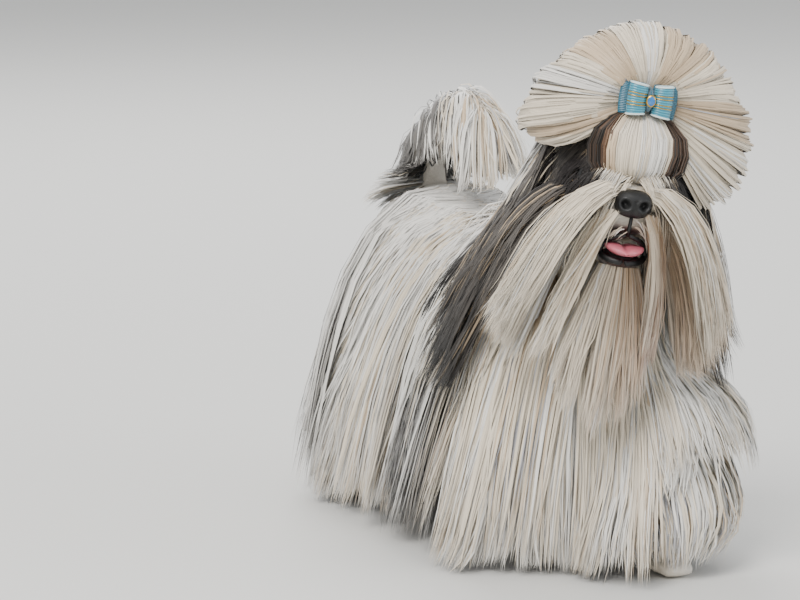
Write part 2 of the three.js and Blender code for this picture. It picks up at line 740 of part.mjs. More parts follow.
for (const [name, shape] of Object.entries(solids)) {
  const geometry = geometryOf(shape);
  geometry.computeVertexNormals();
  const made = new THREE.Mesh(geometry, FINISHES[name.split("_")[0]] ?? coatFinish);
  made.name = name;
  part.add(made);
}

// The origin goes to the middle of the outline's foot
const outline = new THREE.Box3().setFromObject(part);
const middle = outline.getCenter(V(0, 0, 0));
part.children.forEach((mesh) => mesh.position.set(-middle.x, -middle.y, -outline.min.z));

export default part;
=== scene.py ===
"""Looks of a long-coated shih tzu with a ribbon bow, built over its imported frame.

Lengths in the builders are millimetres in the frame of the part's source, where the dog faces
-Y and its soles are at z = 0. Place.to_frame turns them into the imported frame's metres.
"""

import logging
import math
from dataclasses import dataclass, field
from enum import Enum
from typing import Sequence

import bpy
import numpy as np
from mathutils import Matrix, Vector


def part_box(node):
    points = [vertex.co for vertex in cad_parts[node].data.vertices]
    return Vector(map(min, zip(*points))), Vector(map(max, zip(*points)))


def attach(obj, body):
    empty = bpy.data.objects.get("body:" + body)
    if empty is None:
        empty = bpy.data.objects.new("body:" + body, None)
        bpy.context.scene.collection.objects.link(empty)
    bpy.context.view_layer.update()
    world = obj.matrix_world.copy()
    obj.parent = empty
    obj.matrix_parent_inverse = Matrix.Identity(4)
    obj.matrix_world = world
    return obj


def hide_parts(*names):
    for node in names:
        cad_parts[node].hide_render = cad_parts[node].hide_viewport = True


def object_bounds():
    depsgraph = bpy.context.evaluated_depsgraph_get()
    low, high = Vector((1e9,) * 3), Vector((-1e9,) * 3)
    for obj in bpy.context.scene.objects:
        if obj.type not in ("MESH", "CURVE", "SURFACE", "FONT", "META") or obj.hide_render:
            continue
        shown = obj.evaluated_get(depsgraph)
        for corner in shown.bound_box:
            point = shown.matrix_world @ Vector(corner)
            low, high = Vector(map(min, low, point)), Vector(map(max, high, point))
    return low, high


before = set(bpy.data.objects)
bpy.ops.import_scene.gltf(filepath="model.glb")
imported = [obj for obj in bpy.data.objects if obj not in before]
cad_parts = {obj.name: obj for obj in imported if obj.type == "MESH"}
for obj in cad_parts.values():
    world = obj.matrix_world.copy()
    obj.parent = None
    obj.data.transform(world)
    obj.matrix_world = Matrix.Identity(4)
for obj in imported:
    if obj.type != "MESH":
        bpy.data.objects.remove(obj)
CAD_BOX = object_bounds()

LOG = logging.getLogger("shih_tzu")
SEED = 4207
MM = 0.001
HEM = 3.0
LOWEST_TIP = 1.6
ROOT_DEPTH = 0.5
CIRCLE = 6.28
FIRST_COAT_SEED = 500
SOFT_REACH = (13, 20, 18)
FLOOR_HALF = 30.0
LAMPS_AIM = (0, 0, 0.2)
Array = np.ndarray


def vec(*values: float) -> Array:
    """A numpy vector.

    Args:
        *values: its numbers.

    Returns:
        The vector as floats.
    """
    return np.array(values, float)


def path_of(*points: Sequence[float]) -> Array:
    """Points as the rows of an array of floats."""
    return np.array(points, float)


def xyz(x: Array | float, y: Array | float, z: Array | float) -> Array:
    """Vectors from their three columns, each an array or one number for all."""
    return np.stack(np.broadcast_arrays(x, y, z), -1)


# The head's frame.
SKULL_AT = vec(0, -172, 311)
HEAD_YAW, HEAD_TIP, HEAD_TILT = (math.radians(a) for a in (-18, 0, 9))


def head_rotation() -> Array:
    """The head's turn, tip and tilt.

    Returns:
        The rotation from the head's frame to the dog's.
    """
    cz, sz = math.cos(HEAD_YAW), math.sin(HEAD_YAW)
    cx, sx = math.cos(HEAD_TIP), math.sin(HEAD_TIP)
    cy, sy = math.cos(HEAD_TILT), math.sin(HEAD_TILT)
    turn = np.array([[cz, -sz, 0], [sz, cz, 0], [0, 0, 1]])
    tip = np.array([[1, 0, 0], [0, cx, -sx], [0, sx, cx]])
    tilt = np.array([[cy, 0, sy], [0, 1, 0], [-sy, 0, cy]])
    return turn @ tip @ tilt


HEAD = head_rotation()


def from_head(points: Array) -> Array:
    """Head-frame points in the dog's frame."""
    return np.asarray(points, float) @ HEAD.T + SKULL_AT


def into_head(points: Array) -> Array:
    """Dog-frame points in the head's frame."""
    return (np.asarray(points, float) - SKULL_AT) @ HEAD


def turned(directions: Array) -> Array:
    """Head-frame directions in the dog's frame."""
    return np.asarray(directions, float) @ HEAD.T


def unit(v: Array) -> Array:
    """Vectors scaled to length one."""
    return v / np.maximum(np.linalg.norm(v, axis=-1, keepdims=True), 1e-9)


class Forms:
    """A smooth union of ellipsoids that hair lies on.

    Args:
        rows: (centre, radii) of each ellipsoid.
        blend: how softly they join.
    """

    def __init__(self, rows: Sequence[tuple[Array, Array]], blend: float = 14.0) -> None:
        self.rows = list(rows)
        self.blend = blend

    def __add__(self, other: "Forms") -> "Forms":
        """Both sets of ellipsoids as one."""
        return Forms(self.rows + other.rows, self.blend)

    def distance(self, p: Array) -> Array:
        """Distance from points to the surface, negative inside.

        Args:
            p: the points.

        Returns:
            A distance for each point.
        """
        total = np.zeros(p.shape[:-1])
        for at, radii in self.rows:
            q = (p - at) / radii
            k0 = np.linalg.norm(q, axis=-1)
            k1 = np.maximum(np.linalg.norm(q / radii, axis=-1), 1e-9)
            total += np.exp(np.clip(-(k0 * (k0 - 1) / k1) / self.blend, -60, 40))
        return -self.blend * np.log(np.maximum(total, 1e-26))

    def outward(self, p: Array) -> Array:
        """Unit directions away from the surface at points.

        Args:
            p: the points.

        Returns:
            A unit direction for each point.
        """
        here = self.distance(p)
        step = 1.5
        return unit(np.stack([self.distance(p + step * axis) - here for axis in np.eye(3)], -1))

    def settled(self, points: Array, times: int) -> Array:
        """Points moved just outside the surface, in a number of steps.

        Args:
            points: where they start.
            times: number of steps.

        Returns:
            The moved points.
        """
        for _ in range(times):
            points = points - self.outward(points) * (self.distance(points) - ROOT_DEPTH)[:, None]
        return points

    def reach(self, start: Array, ray: Array, offset: float) -> Array:
        """How far along rays from inside the offset surface lies.

        Args:
            start: where the rays begin.
            ray: their unit directions.
            offset: of the surface outwards.

        Returns:
            A length for each ray.
        """
        near, far = np.zeros(len(start)), np.full(len(start), 260.0)
        for _ in range(22):
            middle = (near + far) / 2
            inside = self.distance(start + ray * middle[:, None]) < offset
            near, far = np.where(inside, middle, near), np.where(inside, far, middle)
        return near


BODY = Forms(
    [
        (vec(0, -112, 178), vec(56, 56, 62)),
        (vec(0, -55, 184), vec(62, 104, 70)),
        (vec(0, 62, 194), vec(55, 108, 58)),
        (vec(0, 140, 192), vec(60, 66, 64)),
    ]
)
NECK = Forms([(vec(0, -118, 240), vec(44, 46, 44)), (vec(0, -138, 276), vec(38, 40, 40))])
HEAD_ROWS = [
    (vec(0, 0, 0), vec(44, 50, 42)),
    (vec(0, -26, -20), vec(38, 36, 30)),
    (vec(0, -50, -20), vec(27, 28, 22)),
]
SKULL = Forms([(from_head(at), radii) for at, radii in HEAD_ROWS])


@dataclass(frozen=True)
class Leg:
    """One leg.

    Args:
        joints: from the shoulder or hip down to the sole.
        swell: how far its hair swells out.
        top: where along it the hair starts.
    """

    joints: Array
    swell: float
    top: float


LEGS = {
    "foreleg_left": Leg(path_of([44, -112, 138], [46, -152, 96], [40, -180, 50], [33, -188, 0]), 62, 0.16),
    "foreleg_right": Leg(path_of([-42, -104, 138], [-46, -96, 92], [-42, -90, 50], [-34, -88, 0]), 48, 0.3),
    "hindleg_right": Leg(path_of([-44, 140, 150], [-48, 124, 100], [-46, 140, 50], [-44, 120, 0]), 42, 0.34),
    "hindleg_left": Leg(path_of([44, 150, 150], [48, 142, 100], [46, 180, 50], [44, 178, 0]), 42, 0.34),
}


def leg_forms() -> Forms:
    """The space that each leg's hair fills.

    Returns:
        The ellipsoids along all four legs, joined.
    """
    rows = []
    for leg in LEGS.values():
        _, knee, cannon, paw = leg.joints
        rows.append((knee * 0.9 + cannon * 0.1, vec(leg.swell, leg.swell, 60)))
        rows.append(((cannon + paw) / 2, vec(leg.swell, leg.swell, 46)))
    return Forms(rows)


UNDER = BODY + leg_forms()
FRONT = BODY + NECK + SKULL


# Curves and random draws.
def spline(controls: Array, count: int) -> Array:
    """Points along Catmull-Rom curves.

    Args:
        controls: (curves, controls, 3).
        count: points on each curve, ends included.

    Returns:
        (curves, count, 3).
    """
    padded = np.concatenate(
        [2 * controls[:, :1] - controls[:, 1:2], controls, 2 * controls[:, -1:] - controls[:, -2:-1]], 1
    )
    spans = controls.shape[1] - 1
    at = np.linspace(0, spans, count)
    start = np.minimum(at.astype(int), spans - 1)
    t = (at - start)[None, :, None]
    a, b, c, d = (padded[:, start + k] for k in range(4))
    return 0.5 * (2 * b + (c - a) * t + (2 * a - 5 * b + 4 * c - d) * t**2 + (3 * b - a - 3 * c + d) * t**3)


def curve_at(joints: Array, u: Array) -> Array:
    """Points of one Catmull-Rom curve at shares of it.

    Args:
        joints: the points that the curve passes through.
        u: shares of its length, from 0 to 1.

    Returns:
        A point for each share.
    """
    fine = spline(joints[None], 120)[0]
    at = np.clip(u, 0, 1) * 119
    low = np.minimum(at.astype(int), 118)
    share = (at - low)[..., None]
    return fine[low] * (1 - share) + fine[low + 1] * share


def table(rows: Sequence[tuple[float, float]], at: Array) -> Array:
    """Straight lines between the rows of a table."""
    return np.interp(at, [row[0] for row in rows], [row[1] for row in rows])


class Draw:
    """A seeded source of random draws.

    Args:
        seed: added to the file's seed.
    """

    def __init__(self, seed: int) -> None:
        self.rng = np.random.default_rng(SEED + seed)

    def flat(self, count: int, low: float = 0.0, high: float = 1.0) -> Array:
        """Even draws between two numbers."""
        return self.rng.uniform(low, high, count)

    def around(self, values: Array | float, share: float, count: int) -> Array:
        """Draws spread about values by a share of them."""
        return values * (1 + share * self.rng.uniform(-1, 1, count))

    def normal(self, shape: tuple[int, ...], size: float = 1.0) -> Array:
        """Normal draws."""
        return self.rng.normal(0, size, shape)


# Hair.
@dataclass(frozen=True)
class Flow:
    """How hair falls.

    Args:
        pull: where its weight and the wind take it, one or for each strand.
        fall: how fast it turns that way.
        rise: depth over the forms at the root and at the tip, one or for each strand.
        forms: what it rests on.
    """

    pull: Array
    fall: float
    rise: tuple[Array | float, Array | float]
    forms: Forms


FALL_STEPS = 12


def drape(roots: Array, starts: Array, lengths: Array, flow: Flow, steps: int) -> Array:
    """Paths of strands that leave their roots, bend with the pull and rest on the forms.

    Args:
        roots: (strands, 3).
        starts: first directions.
        lengths: of each strand.
        flow: how they fall.
        steps: pieces of each path.

    Returns:
        (strands, steps + 1, 3).
    """
    inner = 2
    path = [roots]
    here, along = roots.copy(), unit(starts)
    drag = unit(np.broadcast_to(flow.pull, roots.shape))
    step = (lengths / (steps * inner))[:, None]
    bend = 1 - (1 - flow.fall) ** (FALL_STEPS / (steps * inner))
    for i in range(1, steps * inner + 1):
        along = unit(along * (1 - bend) + drag * bend)
        there = here + along * step
        share = i / (steps * inner)
        depth = flow.rise[0] * (1 - share) + flow.rise[1] * share
        distance = flow.forms.distance(there)
        short = np.maximum(depth - distance, 0)[:, None]
        there = there + flow.forms.outward(there) * short
        there[:, 2] = np.maximum(there[:, 2], HEM - 0.5)
        along = unit(there - here)
        here = there
        if i % inner == 0:
            path.append(here)
    return np.stack(path, 1)


@dataclass(frozen=True)
class Lock:
    """How strands gather into locks.

    Args:
        size: strands to each lock.
        hold: how far they close on the lock's middle at the tips.
        wave: how far a lock swings from side to side.
        loose: the share of strands that stay free.
        frizz: how far each strand strays.
    """

    size: int = 26
    hold: float = 0.62
    wave: float = 4.0
    loose: float = 0.06
    frizz: float = 1.9


def gather(paths: Array, lock: Lock, draw: Draw) -> tuple[Array, Array]:
    """Closes strands on the locks that they belong to.

    Args:
        paths: (strands, points, 3).
        lock: how they gather.
        draw: the random source.

    Returns:
        The new paths, and each strand's lock number.
    """
    count, points = paths.shape[:2]
    guides = draw.rng.choice(count, max(2, count // lock.size), replace=False)
    middle = paths[:, points // 3]
    own = np.concatenate(
        [
            np.linalg.norm(part[:, None] - middle[guides][None], axis=-1).argmin(1)
            for part in np.array_split(middle, 8)
        ]
    )
    t = np.linspace(0, 1, points)[None, :, None]
    lead = paths[guides]
    swing = unit(draw.normal((len(guides), 1, 3))) * vec(1, 1, 0.3)
    phase = draw.flat(len(guides), 0, CIRCLE)[:, None, None]
    turns = draw.flat(len(guides), 0.5, 1.3)[:, None, None]
    lead = lead + swing * lock.wave * np.sin(phase + turns * CIRCLE * t) * t
    hold = (lock.hold * draw.around(1.0, 0.25, count))[:, None, None]
    free = draw.flat(count) < lock.loose
    hold = np.where(free[:, None, None], hold * 0.25, hold)
    moved = paths + (lead[own] - paths) * np.clip(hold * t**1.4, 0, 0.93)
    strays = unit(draw.normal((count, 1, 3)))
    phase = draw.flat(count, 0, CIRCLE)[:, None, None]
    size = lock.frizz * (1 + 2.5 * free)[:, None, None]
    moved = moved + strays * size * np.sin(phase + 9 * t) * t
    moved[..., 2] = np.maximum(moved[..., 2], LOWEST_TIP)
    return moved, own


@dataclass(frozen=True)
class Section:
    """The flat section of a strand.

    Args:
        width: across it.
        depth: its thickness as a share of its width.
        root: its width at the root as a share.
        belly: where along it is widest.
    """

    width: float
    depth: float = 0.4
    root: float = 0.6
    belly: float = 0.4


def frames(paths: Array, out: Array, draw: Draw) -> tuple[Array, Array]:
    """Steady sideways and upward directions along paths.

    Args:
        paths: (strands, points, 3).
        out: away from the forms, the same shape.
        draw: the random source of a small roll.

    Returns:
        Directions across the strands, and away from the forms.
    """
    along = unit(np.gradient(paths, axis=1))
    flat = np.cross(along, out)
    points = paths.shape[1]
    across = np.zeros_like(paths)
    first = int(0.6 * points)
    across[:, first] = unit(flat[:, first])
    for order in (range(first + 1, points), range(first - 1, -1, -1)):
        last = across[:, first]
        for i in order:
            turned_flat = 0.4 * flat[:, i] + last
            turned_flat -= along[:, i] * (turned_flat * along[:, i]).sum(-1, keepdims=True)
            last = unit(turned_flat)
            across[:, i] = last
    roll = draw.normal((len(paths), 1, 1), 0.28)
    up = np.cross(across, along)
    return across * np.cos(roll) + up * np.sin(roll), up * np.cos(roll) - across * np.sin(roll)


@dataclass
class Hair:
    """Strands of one piece before they are meshed.

    Args:
        paths: (strands, points, 3).
        out: away from the forms, the same shape.
        roots: (strands, 2) places on the unwrap of the skin.
        colours: (strands, points, 3) linear colours.
        widths: of each strand.
        section: their section.
    """

    paths: Array
    out: Array
    roots: Array
    colours: Array
    widths: Array
    section: Section


PATCH = 0.003


class StrandMesh:
    """Turns strands into one closed, joined mesh.

    Args:
        place: from the dog's millimetres to the frame's metres.
    """

    def __init__(self, place: "Place") -> None:
        self.place = place

    def build(
        self, name: str, parts: Sequence[Hair], finish: bpy.types.Material, draw: Draw
    ) -> bpy.types.Object:
        """One object from several sets of strands.

        Args:
            name: of the object.
            parts: the strands.
            finish: the material.
            draw: the random source.

        Returns:
            The object.
        """
        sets, faces, base = [], [], 0
        for part in parts:
            *corner_data, tris = self._strands(part, draw)
            sets.append(corner_data)
            faces.append(tris + base)
            base += len(corner_data[0])
        verts, paint, flat_map, places, normals = (np.concatenate(column) for column in zip(*sets))
        tris = np.concatenate(faces)
        made = mesh_object(name, self.place.to_frame(verts), tris, finish)
        paint_mesh(made, paint)
        layer = made.data.uv_layers.new(name="OFBake")
        layer.data.foreach_set("uv", flat_map[tris.ravel()].astype(np.float32).ravel())
        spot = made.data.attributes.new(PLACE_ATTRIBUTE, "FLOAT_VECTOR", "POINT")
        spot.data.foreach_set("vector", places.astype(np.float32).ravel())
        made.data.normals_split_custom_set_from_vertices(normals.astype(np.float32))
        LOG.info("%s: %d triangles", name, len(tris))
        return made

    def _strands(self, part: Hair, draw: Draw) -> tuple[Array, Array, Array, Array, Array, Array]:
        """Corners, colours, map, places, normals and triangles of a set of strands.

        Args:
            part: the hair.
            draw: the random draws.

        Returns:
            The six arrays, in that order.
        """
        count, points = part.paths.shape[:2]
        across, up = frames(part.paths, part.out, draw)
        t = np.linspace(0, 1, points)
        shape = part.section
        grow = shape.root + (1 - shape.root) * np.clip(t / shape.belly, 0, 1)
        shrink = 1 - np.clip((t - shape.belly) / (1 - shape.belly), 0, 1) ** 2.2
        half = 0.5 * part.widths[:, None, None] * (grow * shrink)[None, :, None]
        high = half * 2 * shape.depth
        rings = points - 1
        left, right = part.paths - across * half, part.paths + across * half
        ridge = part.paths + up * high
        ring = np.stack([left, right, ridge], 2)[:, :rings]
        verts = np.concatenate([ring.reshape(count, rings * 3, 3), part.paths[:, -1:]], 1)
        per = rings * 3 + 1
        tris = []
        for k in range(rings - 1):
            for side in range(3):
                a, b = k * 3 + side, k * 3 + (side + 1) % 3
                tris += [[a, b, b + 3], [a, b + 3, a + 3]]
        last = (rings - 1) * 3
        tris += [[last + side, last + (side + 1) % 3, per - 1] for side in range(3)]
        tris += [[0, 2, 1]]
        tris = np.array(tris)[:, ::-1]
        tris = (tris[None] + (np.arange(count) * per)[:, None, None]).reshape(-1, 3)
        paint = np.concatenate([np.repeat(part.colours[:, :rings], 3, axis=1), part.colours[:, -1:]], 1)
        along = np.concatenate([np.repeat(t[:rings], 3), t[-1:]])
        side = np.concatenate([np.tile([0.0, 1.0, 0.5], rings), [0.5]])
        flat_map = part.roots[:, None, :] + PATCH * np.stack([side - 0.5, along - 0.5], -1)[None]
        long = np.linalg.norm(np.diff(part.paths, axis=1), axis=-1).sum(1)
        across_mm = part.widths[:, None] * side[None]
        places = xyz(across_mm, long[:, None] * along[None], draw.flat(count, 0, 400)[:, None])
        lift = part.out * ROUND[0] + up * ROUND[1]
        normals = np.stack([lift - across * ROUND[2], lift + across * ROUND[2], lift], 2)[:, :rings]
        normals = unit(np.concatenate([normals.reshape(count, rings * 3, 3), lift[:, -1:]], 1))
        return (
            verts.reshape(-1, 3),
            paint.reshape(-1, 3),
            flat_map.reshape(-1, 2),
            places.reshape(-1, 3),
            normals.reshape(-1, 3),
            tris,
        )


def mesh_object(name: str, coords: Array, tris: Array, finish: bpy.types.Material) -> bpy.types.Object:
    """A mesh object at the origin.

    Args:
        name: of the object.
        coords: metres.
        tris: corner numbers.
        finish: the material.

    Returns:
        The object, in the scene.
    """
    mesh = bpy.data.meshes.new(name)
    mesh.vertices.add(len(coords))
    mesh.vertices.foreach_set("co", coords.astype(np.float32).ravel())
    mesh.loops.add(tris.size)
    mesh.loops.foreach_set("vertex_index", tris.astype(np.int32).ravel())
    mesh.polygons.add(len(tris))
    mesh.polygons.foreach_set("loop_start", np.arange(0, tris.size, 3, dtype=np.int32))
    mesh.update(calc_edges=True)
    mesh.shade_smooth()
    mesh.materials.append(finish)
    made = bpy.data.objects.new(name, mesh)
    bpy.context.scene.collection.objects.link(made)
    return made


COAT_ATTRIBUTE = "CoatColour"
PLACE_ATTRIBUTE = "HairPlace"
ROUND = (0.75, 0.35, 0.42)


def paint_mesh(made: bpy.types.Object, colours: Array) -> None:
    """Writes linear colours on a mesh's corners as the coat's attribute.

    Args:
        made: the mesh.
        colours: a linear colour for each corner.
    """
    layer = made.data.attributes.new(COAT_ATTRIBUTE, "FLOAT_COLOR", "POINT")
    rgba = np.ones((len(colours), 4), np.float32)
    rgba[:, :3] = colours
    layer.data.foreach_set("color", rgba.ravel())


# Place, colours and markings.
EYE_AT = {-1: vec(-27, -45, -1), 1: vec(27, -45, -1)}
EYE_RADIUS = 10.5
SIDES = {"right": -1, "left": 1}


class Place:
    """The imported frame's place against the source's millimetres."""

    def __init__(self) -> None:
        low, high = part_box("eye_right")
        self.shift = np.array((low + high) / 2) - from_head(EYE_AT[-1]) * MM

    def to_frame(self, points: Array) -> Array:
        """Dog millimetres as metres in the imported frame."""
        return np.asarray(points, float) * MM + self.shift

    def to_dog(self, points: Array) -> Array:
        """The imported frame's metres as dog millimetres."""
        return (np.asarray(points, float) - self.shift) / MM


def linear(hex_colour: str) -> Array:
    """An sRGB hex colour as linear numbers."""
    srgb = np.array([int(hex_colour[i : i + 2], 16) / 255 for i in (0, 2, 4)])
    return np.where(srgb <= 0.04045, srgb / 12.92, ((srgb + 0.055) / 1.055) ** 2.4)


def noise(points: Array, size: float, seed: float = 0.0) -> Array:
    """A smooth pattern from 0 to 1 over points, with features about a size in millimetres.

    Args:
        points: where it is read.
        size: of its features in millimetres.
        seed: shifts the pattern.

    Returns:
        A value for each point.
    """
    p = points / size
    total = np.zeros(p.shape[:-1])
    for k, (a, b, c) in enumerate([(1.0, 0.7, 0.4), (-0.6, 1.1, 0.5), (0.3, -0.8, 1.2), (1.3, 0.2, -0.9)]):
        along = a * p[..., 0] * 3.1 + b * p[..., 1] * 3.1 + c * p[..., 2] * 3.1
        total += np.sin(along + seed * (k + 1) * 1.7 + k)
    return np.clip(0.5 + total / 5.0, 0, 1)


class Coat(Enum):
    """Parts of the coat with colours of their own: white, tan, cool and dark shares."""

    BODY = "body"
    HEAD = "head"
    MUZZLE = "muzzle"
    TOPKNOT = "topknot"
    EAR = "ear"
    CHEEK = "cheek"
    EYE = "eye"
    TAIL = "tail"
    LEG = "leg"


WHITE, CREAM = linear("F8F4EC"), linear("F0E1C8")
TAN, COOL = linear("D6BC9A"), linear("C4C4C9")
GREY, DARK, BLACK = linear("6E6760"), linear("332E2C"), linear("0F0D0D")
RUST = linear("8A4A2C")

SHARES = {
    Coat.BODY: (0.54, 0.26, 0.11, 0.09, 0.0),
    Coat.HEAD: (0.36, 0.34, 0.24, 0.06, 0.0),
    Coat.MUZZLE: (0.20, 0.44, 0.34, 0.02, 0.0),
    Coat.TOPKNOT: (0.20, 0.44, 0.34, 0.02, 0.0),
    Coat.EAR: (0.08, 0.10, 0.18, 0.40, 0.24),
    Coat.CHEEK: (0.05, 0.10, 0.17, 0.36, 0.32),
    Coat.EYE: (0.0, 0.0, 0.03, 0.12, 0.85),
    Coat.TAIL: (0.60, 0.20, 0.10, 0.10, 0.0),
    Coat.LEG: (0.56, 0.14, 0.04, 0.26, 0.0),
}
# Painted shade: each strand's colour is scaled by this at its root, where the hair over it would shade it,
# and rises to full before its middle. The ears' roots are a touch lighter instead.
ROOT_PAINTED_SHADE = {Coat.BODY: 0.9, Coat.EAR: 1.1, Coat.EYE: 1.0, Coat.TOPKNOT: 0.5}
TIP_SHARES = {Coat.EAR: 0.97, Coat.CHEEK: 0.5, Coat.EYE: 0.3}


class Markings:
    """Colours of the coat by place, the same on the skin and the hair."""

    def strand(self, kind: Coat, roots: Array, locks: Array, draw: Draw, points: int) -> Array:
        """Colours along strands, with painted shade towards their roots.

        Args:
            kind: the part of the coat.
            roots: dog millimetres.
            locks: each strand's lock.
            draw: the random source.
            points: on each strand.

        Returns:
            (strands, points, 3).
        """
        count = len(roots)
        smoky = GREY if kind in (Coat.EAR, Coat.CHEEK, Coat.EYE) else COOL
        palette = np.stack([WHITE, CREAM, TAN, smoky, DARK])
        shares = np.array(SHARES[kind])
        lock_tone = draw.flat(int(locks.max()) + 1)[locks]
        tone = 0.4 * lock_tone + 0.35 * noise(roots, 60, 2.0) + 0.35 * draw.flat(count) - 0.05
        if kind is Coat.TOPKNOT:
            tone = 0.15 * lock_tone + 0.75 * noise(roots, 30, 2.0) + 0.15 * draw.flat(count)
        tone = np.clip(tone, 0, 0.999)
        pick = np.searchsorted(np.cumsum(shares / shares.sum()), tone)
        base = palette[np.clip(pick, 0, 4)] * draw.around(0.97, 0.07, count)[:, None]
        if kind in (Coat.MUZZLE, Coat.HEAD):
            face = into_head(roots)
            near = np.linalg.norm((face - vec(15, -70, -44)) / vec(20, 28, 24), axis=-1)
            stain = (0.95 * np.exp(-(near**2)) * draw.flat(count, 0.4, 1.0))[:, None]
            base = base * (1 - stain) + RUST * stain
        t = np.linspace(0, 1, points)[None, :, None]
        # painted shade: the strand's colour is scaled down at its root and rises to full by about 45% of its
        # length
        painted_root_shade = ROOT_PAINTED_SHADE.get(kind, 0.85)
        tip = BLACK if kind in TIP_SHARES else WHITE
        tip_share = TIP_SHARES.get(kind, 0.25)
        colours = base[:, None] * (painted_root_shade + (1 - painted_root_shade) * np.clip(t * 2.2, 0, 1))
        fade = tip_share * t ** (1.1 if kind is Coat.EAR else 1.6)
        return colours * (1 - fade) + tip * fade

    def skin(self, points: Array) -> Array:
        """Colours of the skin at points, under the coat's colours.

        Args:
            points: dog millimetres.

        Returns:
            (points, 3).
        """
        share = noise(points, 60, 2.0)[:, None]
        colour = WHITE * (1 - share) * 0.8 + CREAM * share * 0.75
        face = into_head(points)
        near_eye = np.minimum(
            *[np.linalg.norm((face - EYE_AT[s]) / vec(1.25, 1.1, 1.0), axis=-1) for s in (-1, 1)]
        )
        dark = np.clip((27 - near_eye) / 9, 0, 1)[:, None]
        colour = colour * (1 - dark) + BLACK * 1.3 * dark
        beside = np.clip((np.abs(face[:, 0]) - 44) / 5, 0, 1)
        ear = beside * (np.abs(face[:, 2] + 16) < 36) * (face[:, 1] > -26) * (face[:, 1] < 50)
        colour = colour * (1 - ear[:, None]) + DARK * ear[:, None]
        mouth = np.linalg.norm((face - vec(0, -70, -49)) / vec(24, 22, 16), axis=-1)
        wet = np.clip((1.15 - mouth) / 0.25, 0, 1)[:, None]
        return colour * (1 - wet) + (BLACK * 0.8 + RUST * 0.15) * wet


# Materials.
class Nodes:
    """Adds nodes to a material, each in one call.

    Args:
        name: of the material.
    """

    def __init__(self, name: str) -> None:
        self.material = bpy.data.materials.new(name)
        self.material.use_nodes = True
        self.tree = self.material.node_tree
        self.shader = self.tree.nodes["Principled BSDF"]

    def add(self, kind: str, settings: dict | None = None, **inputs: object) -> bpy.types.Node:
        """Adds a node and fills or links its inputs.

        Args:
            kind: the node's type.
            settings: its properties.
            **inputs: by socket name, a value or another socket.

        Returns:
            The node.
        """
        node = self.tree.nodes.new(kind)
        for key, value in (settings or {}).items():
            setattr(node, key, value)
        for key, value in inputs.items():
            self.set(node, key.replace("_", " "), value)
        return node

    def set(self, node: bpy.types.Node, key: str | int, value: object) -> None:
        """Fills or links one input.

        Args:
            node: the node.
            key: name or number of its input.
            value: a number, a colour or an output.
        """
        socket = node.inputs[key]
        if isinstance(value, bpy.types.NodeSocket):
            self.tree.links.new(value, socket)
        else:
            socket.default_value = value

    def shade(self, **inputs: object) -> None:
        """Fills or links inputs of the shader."""
        for key, value in inputs.items():
            self.set(self.shader, key.replace("_", " "), value)

    def place_mm(self, scale: float) -> bpy.types.NodeSocket:
        """Object coordinates scaled so that one unit is a size in millimetres.

        Args:
            scale: millimetres to a unit.

        Returns:
            The scaled coordinates.
        """
        place = self.add("ShaderNodeTexCoord")
        scaled = self.add("ShaderNodeVectorMath", {"operation": "SCALE"}, Vector=place.outputs["Object"])
        scaled.inputs["Scale"].default_value = 1000.0 / scale
        return scaled.outputs[0]

    def bump(
        self, height: bpy.types.NodeSocket, depth_mm: float, strength: float = 0.6
    ) -> bpy.types.NodeSocket:
        """A bump from a height."""
        return self.add(
            "ShaderNodeBump", None, Height=height, Distance=depth_mm * MM, Strength=strength
        ).outputs["Normal"]


@dataclass(frozen=True)
class Silk:
    """Long silky hair: pale keratin strands with a soft gloss, coloured by the coat's attribute."""

    name: str
    roughness: float = 0.45
    sheen: float = 0.25
    streaks: tuple[float, float, float] = (2.2, 0.03, 1.0)
    dim: float = 0.7

    def make(self) -> bpy.types.Material:
        """The material.

        Returns:
            The new material.
        """
        n = Nodes(self.name)
        colour = n.add("ShaderNodeAttribute", {"attribute_name": COAT_ATTRIBUTE})
        place = n.add("ShaderNodeAttribute", {"attribute_name": PLACE_ATTRIBUTE})
        stretched = n.add("ShaderNodeVectorMath", {"operation": "MULTIPLY"}, Vector=place.outputs["Vector"])
        stretched.inputs[1].default_value = self.streaks
        fine = n.add("ShaderNodeTexNoise", None, Vector=stretched.outputs[0], Scale=1.0, Detail=2.0)
        value = n.add("ShaderNodeMapRange", None, Value=fine.outputs[0])
        value.inputs["From Min"].default_value = 0.3
        value.inputs["From Max"].default_value = 0.7
        value.inputs["To Min"].default_value = self.dim
        value.inputs["To Max"].default_value = 1.08
        mixed = n.add("ShaderNodeVectorMath", {"operation": "SCALE"}, Vector=colour.outputs["Color"])
        n.set(mixed, "Scale", value.outputs[0])
        n.shade(Base_Color=mixed.outputs[0], Roughness=self.roughness, Sheen_Weight=self.sheen)
        n.shade(Sheen_Roughness=0.4, Specular_IOR_Level=0.4)
        return n.material


@dataclass(frozen=True)
class Hide:
    """Skin under the coat, with short fur as bump and the coat's own colours."""

    name: str

    def make(self) -> bpy.types.Material:
        """The material.

        Returns:
            The new material.
        """
        n = Nodes(self.name)
        colour = n.add("ShaderNodeAttribute", {"attribute_name": COAT_ATTRIBUTE})
        fur = n.add("ShaderNodeTexNoise", None, Vector=n.place_mm(1.6), Scale=1.0, Detail=4.0)
        n.shade(Base_Color=colour.outputs["Color"], Roughness=0.7, Sheen_Weight=0.2)
        n.shade(Normal=n.bump(fur.outputs[0], 0.8))
        return n.material


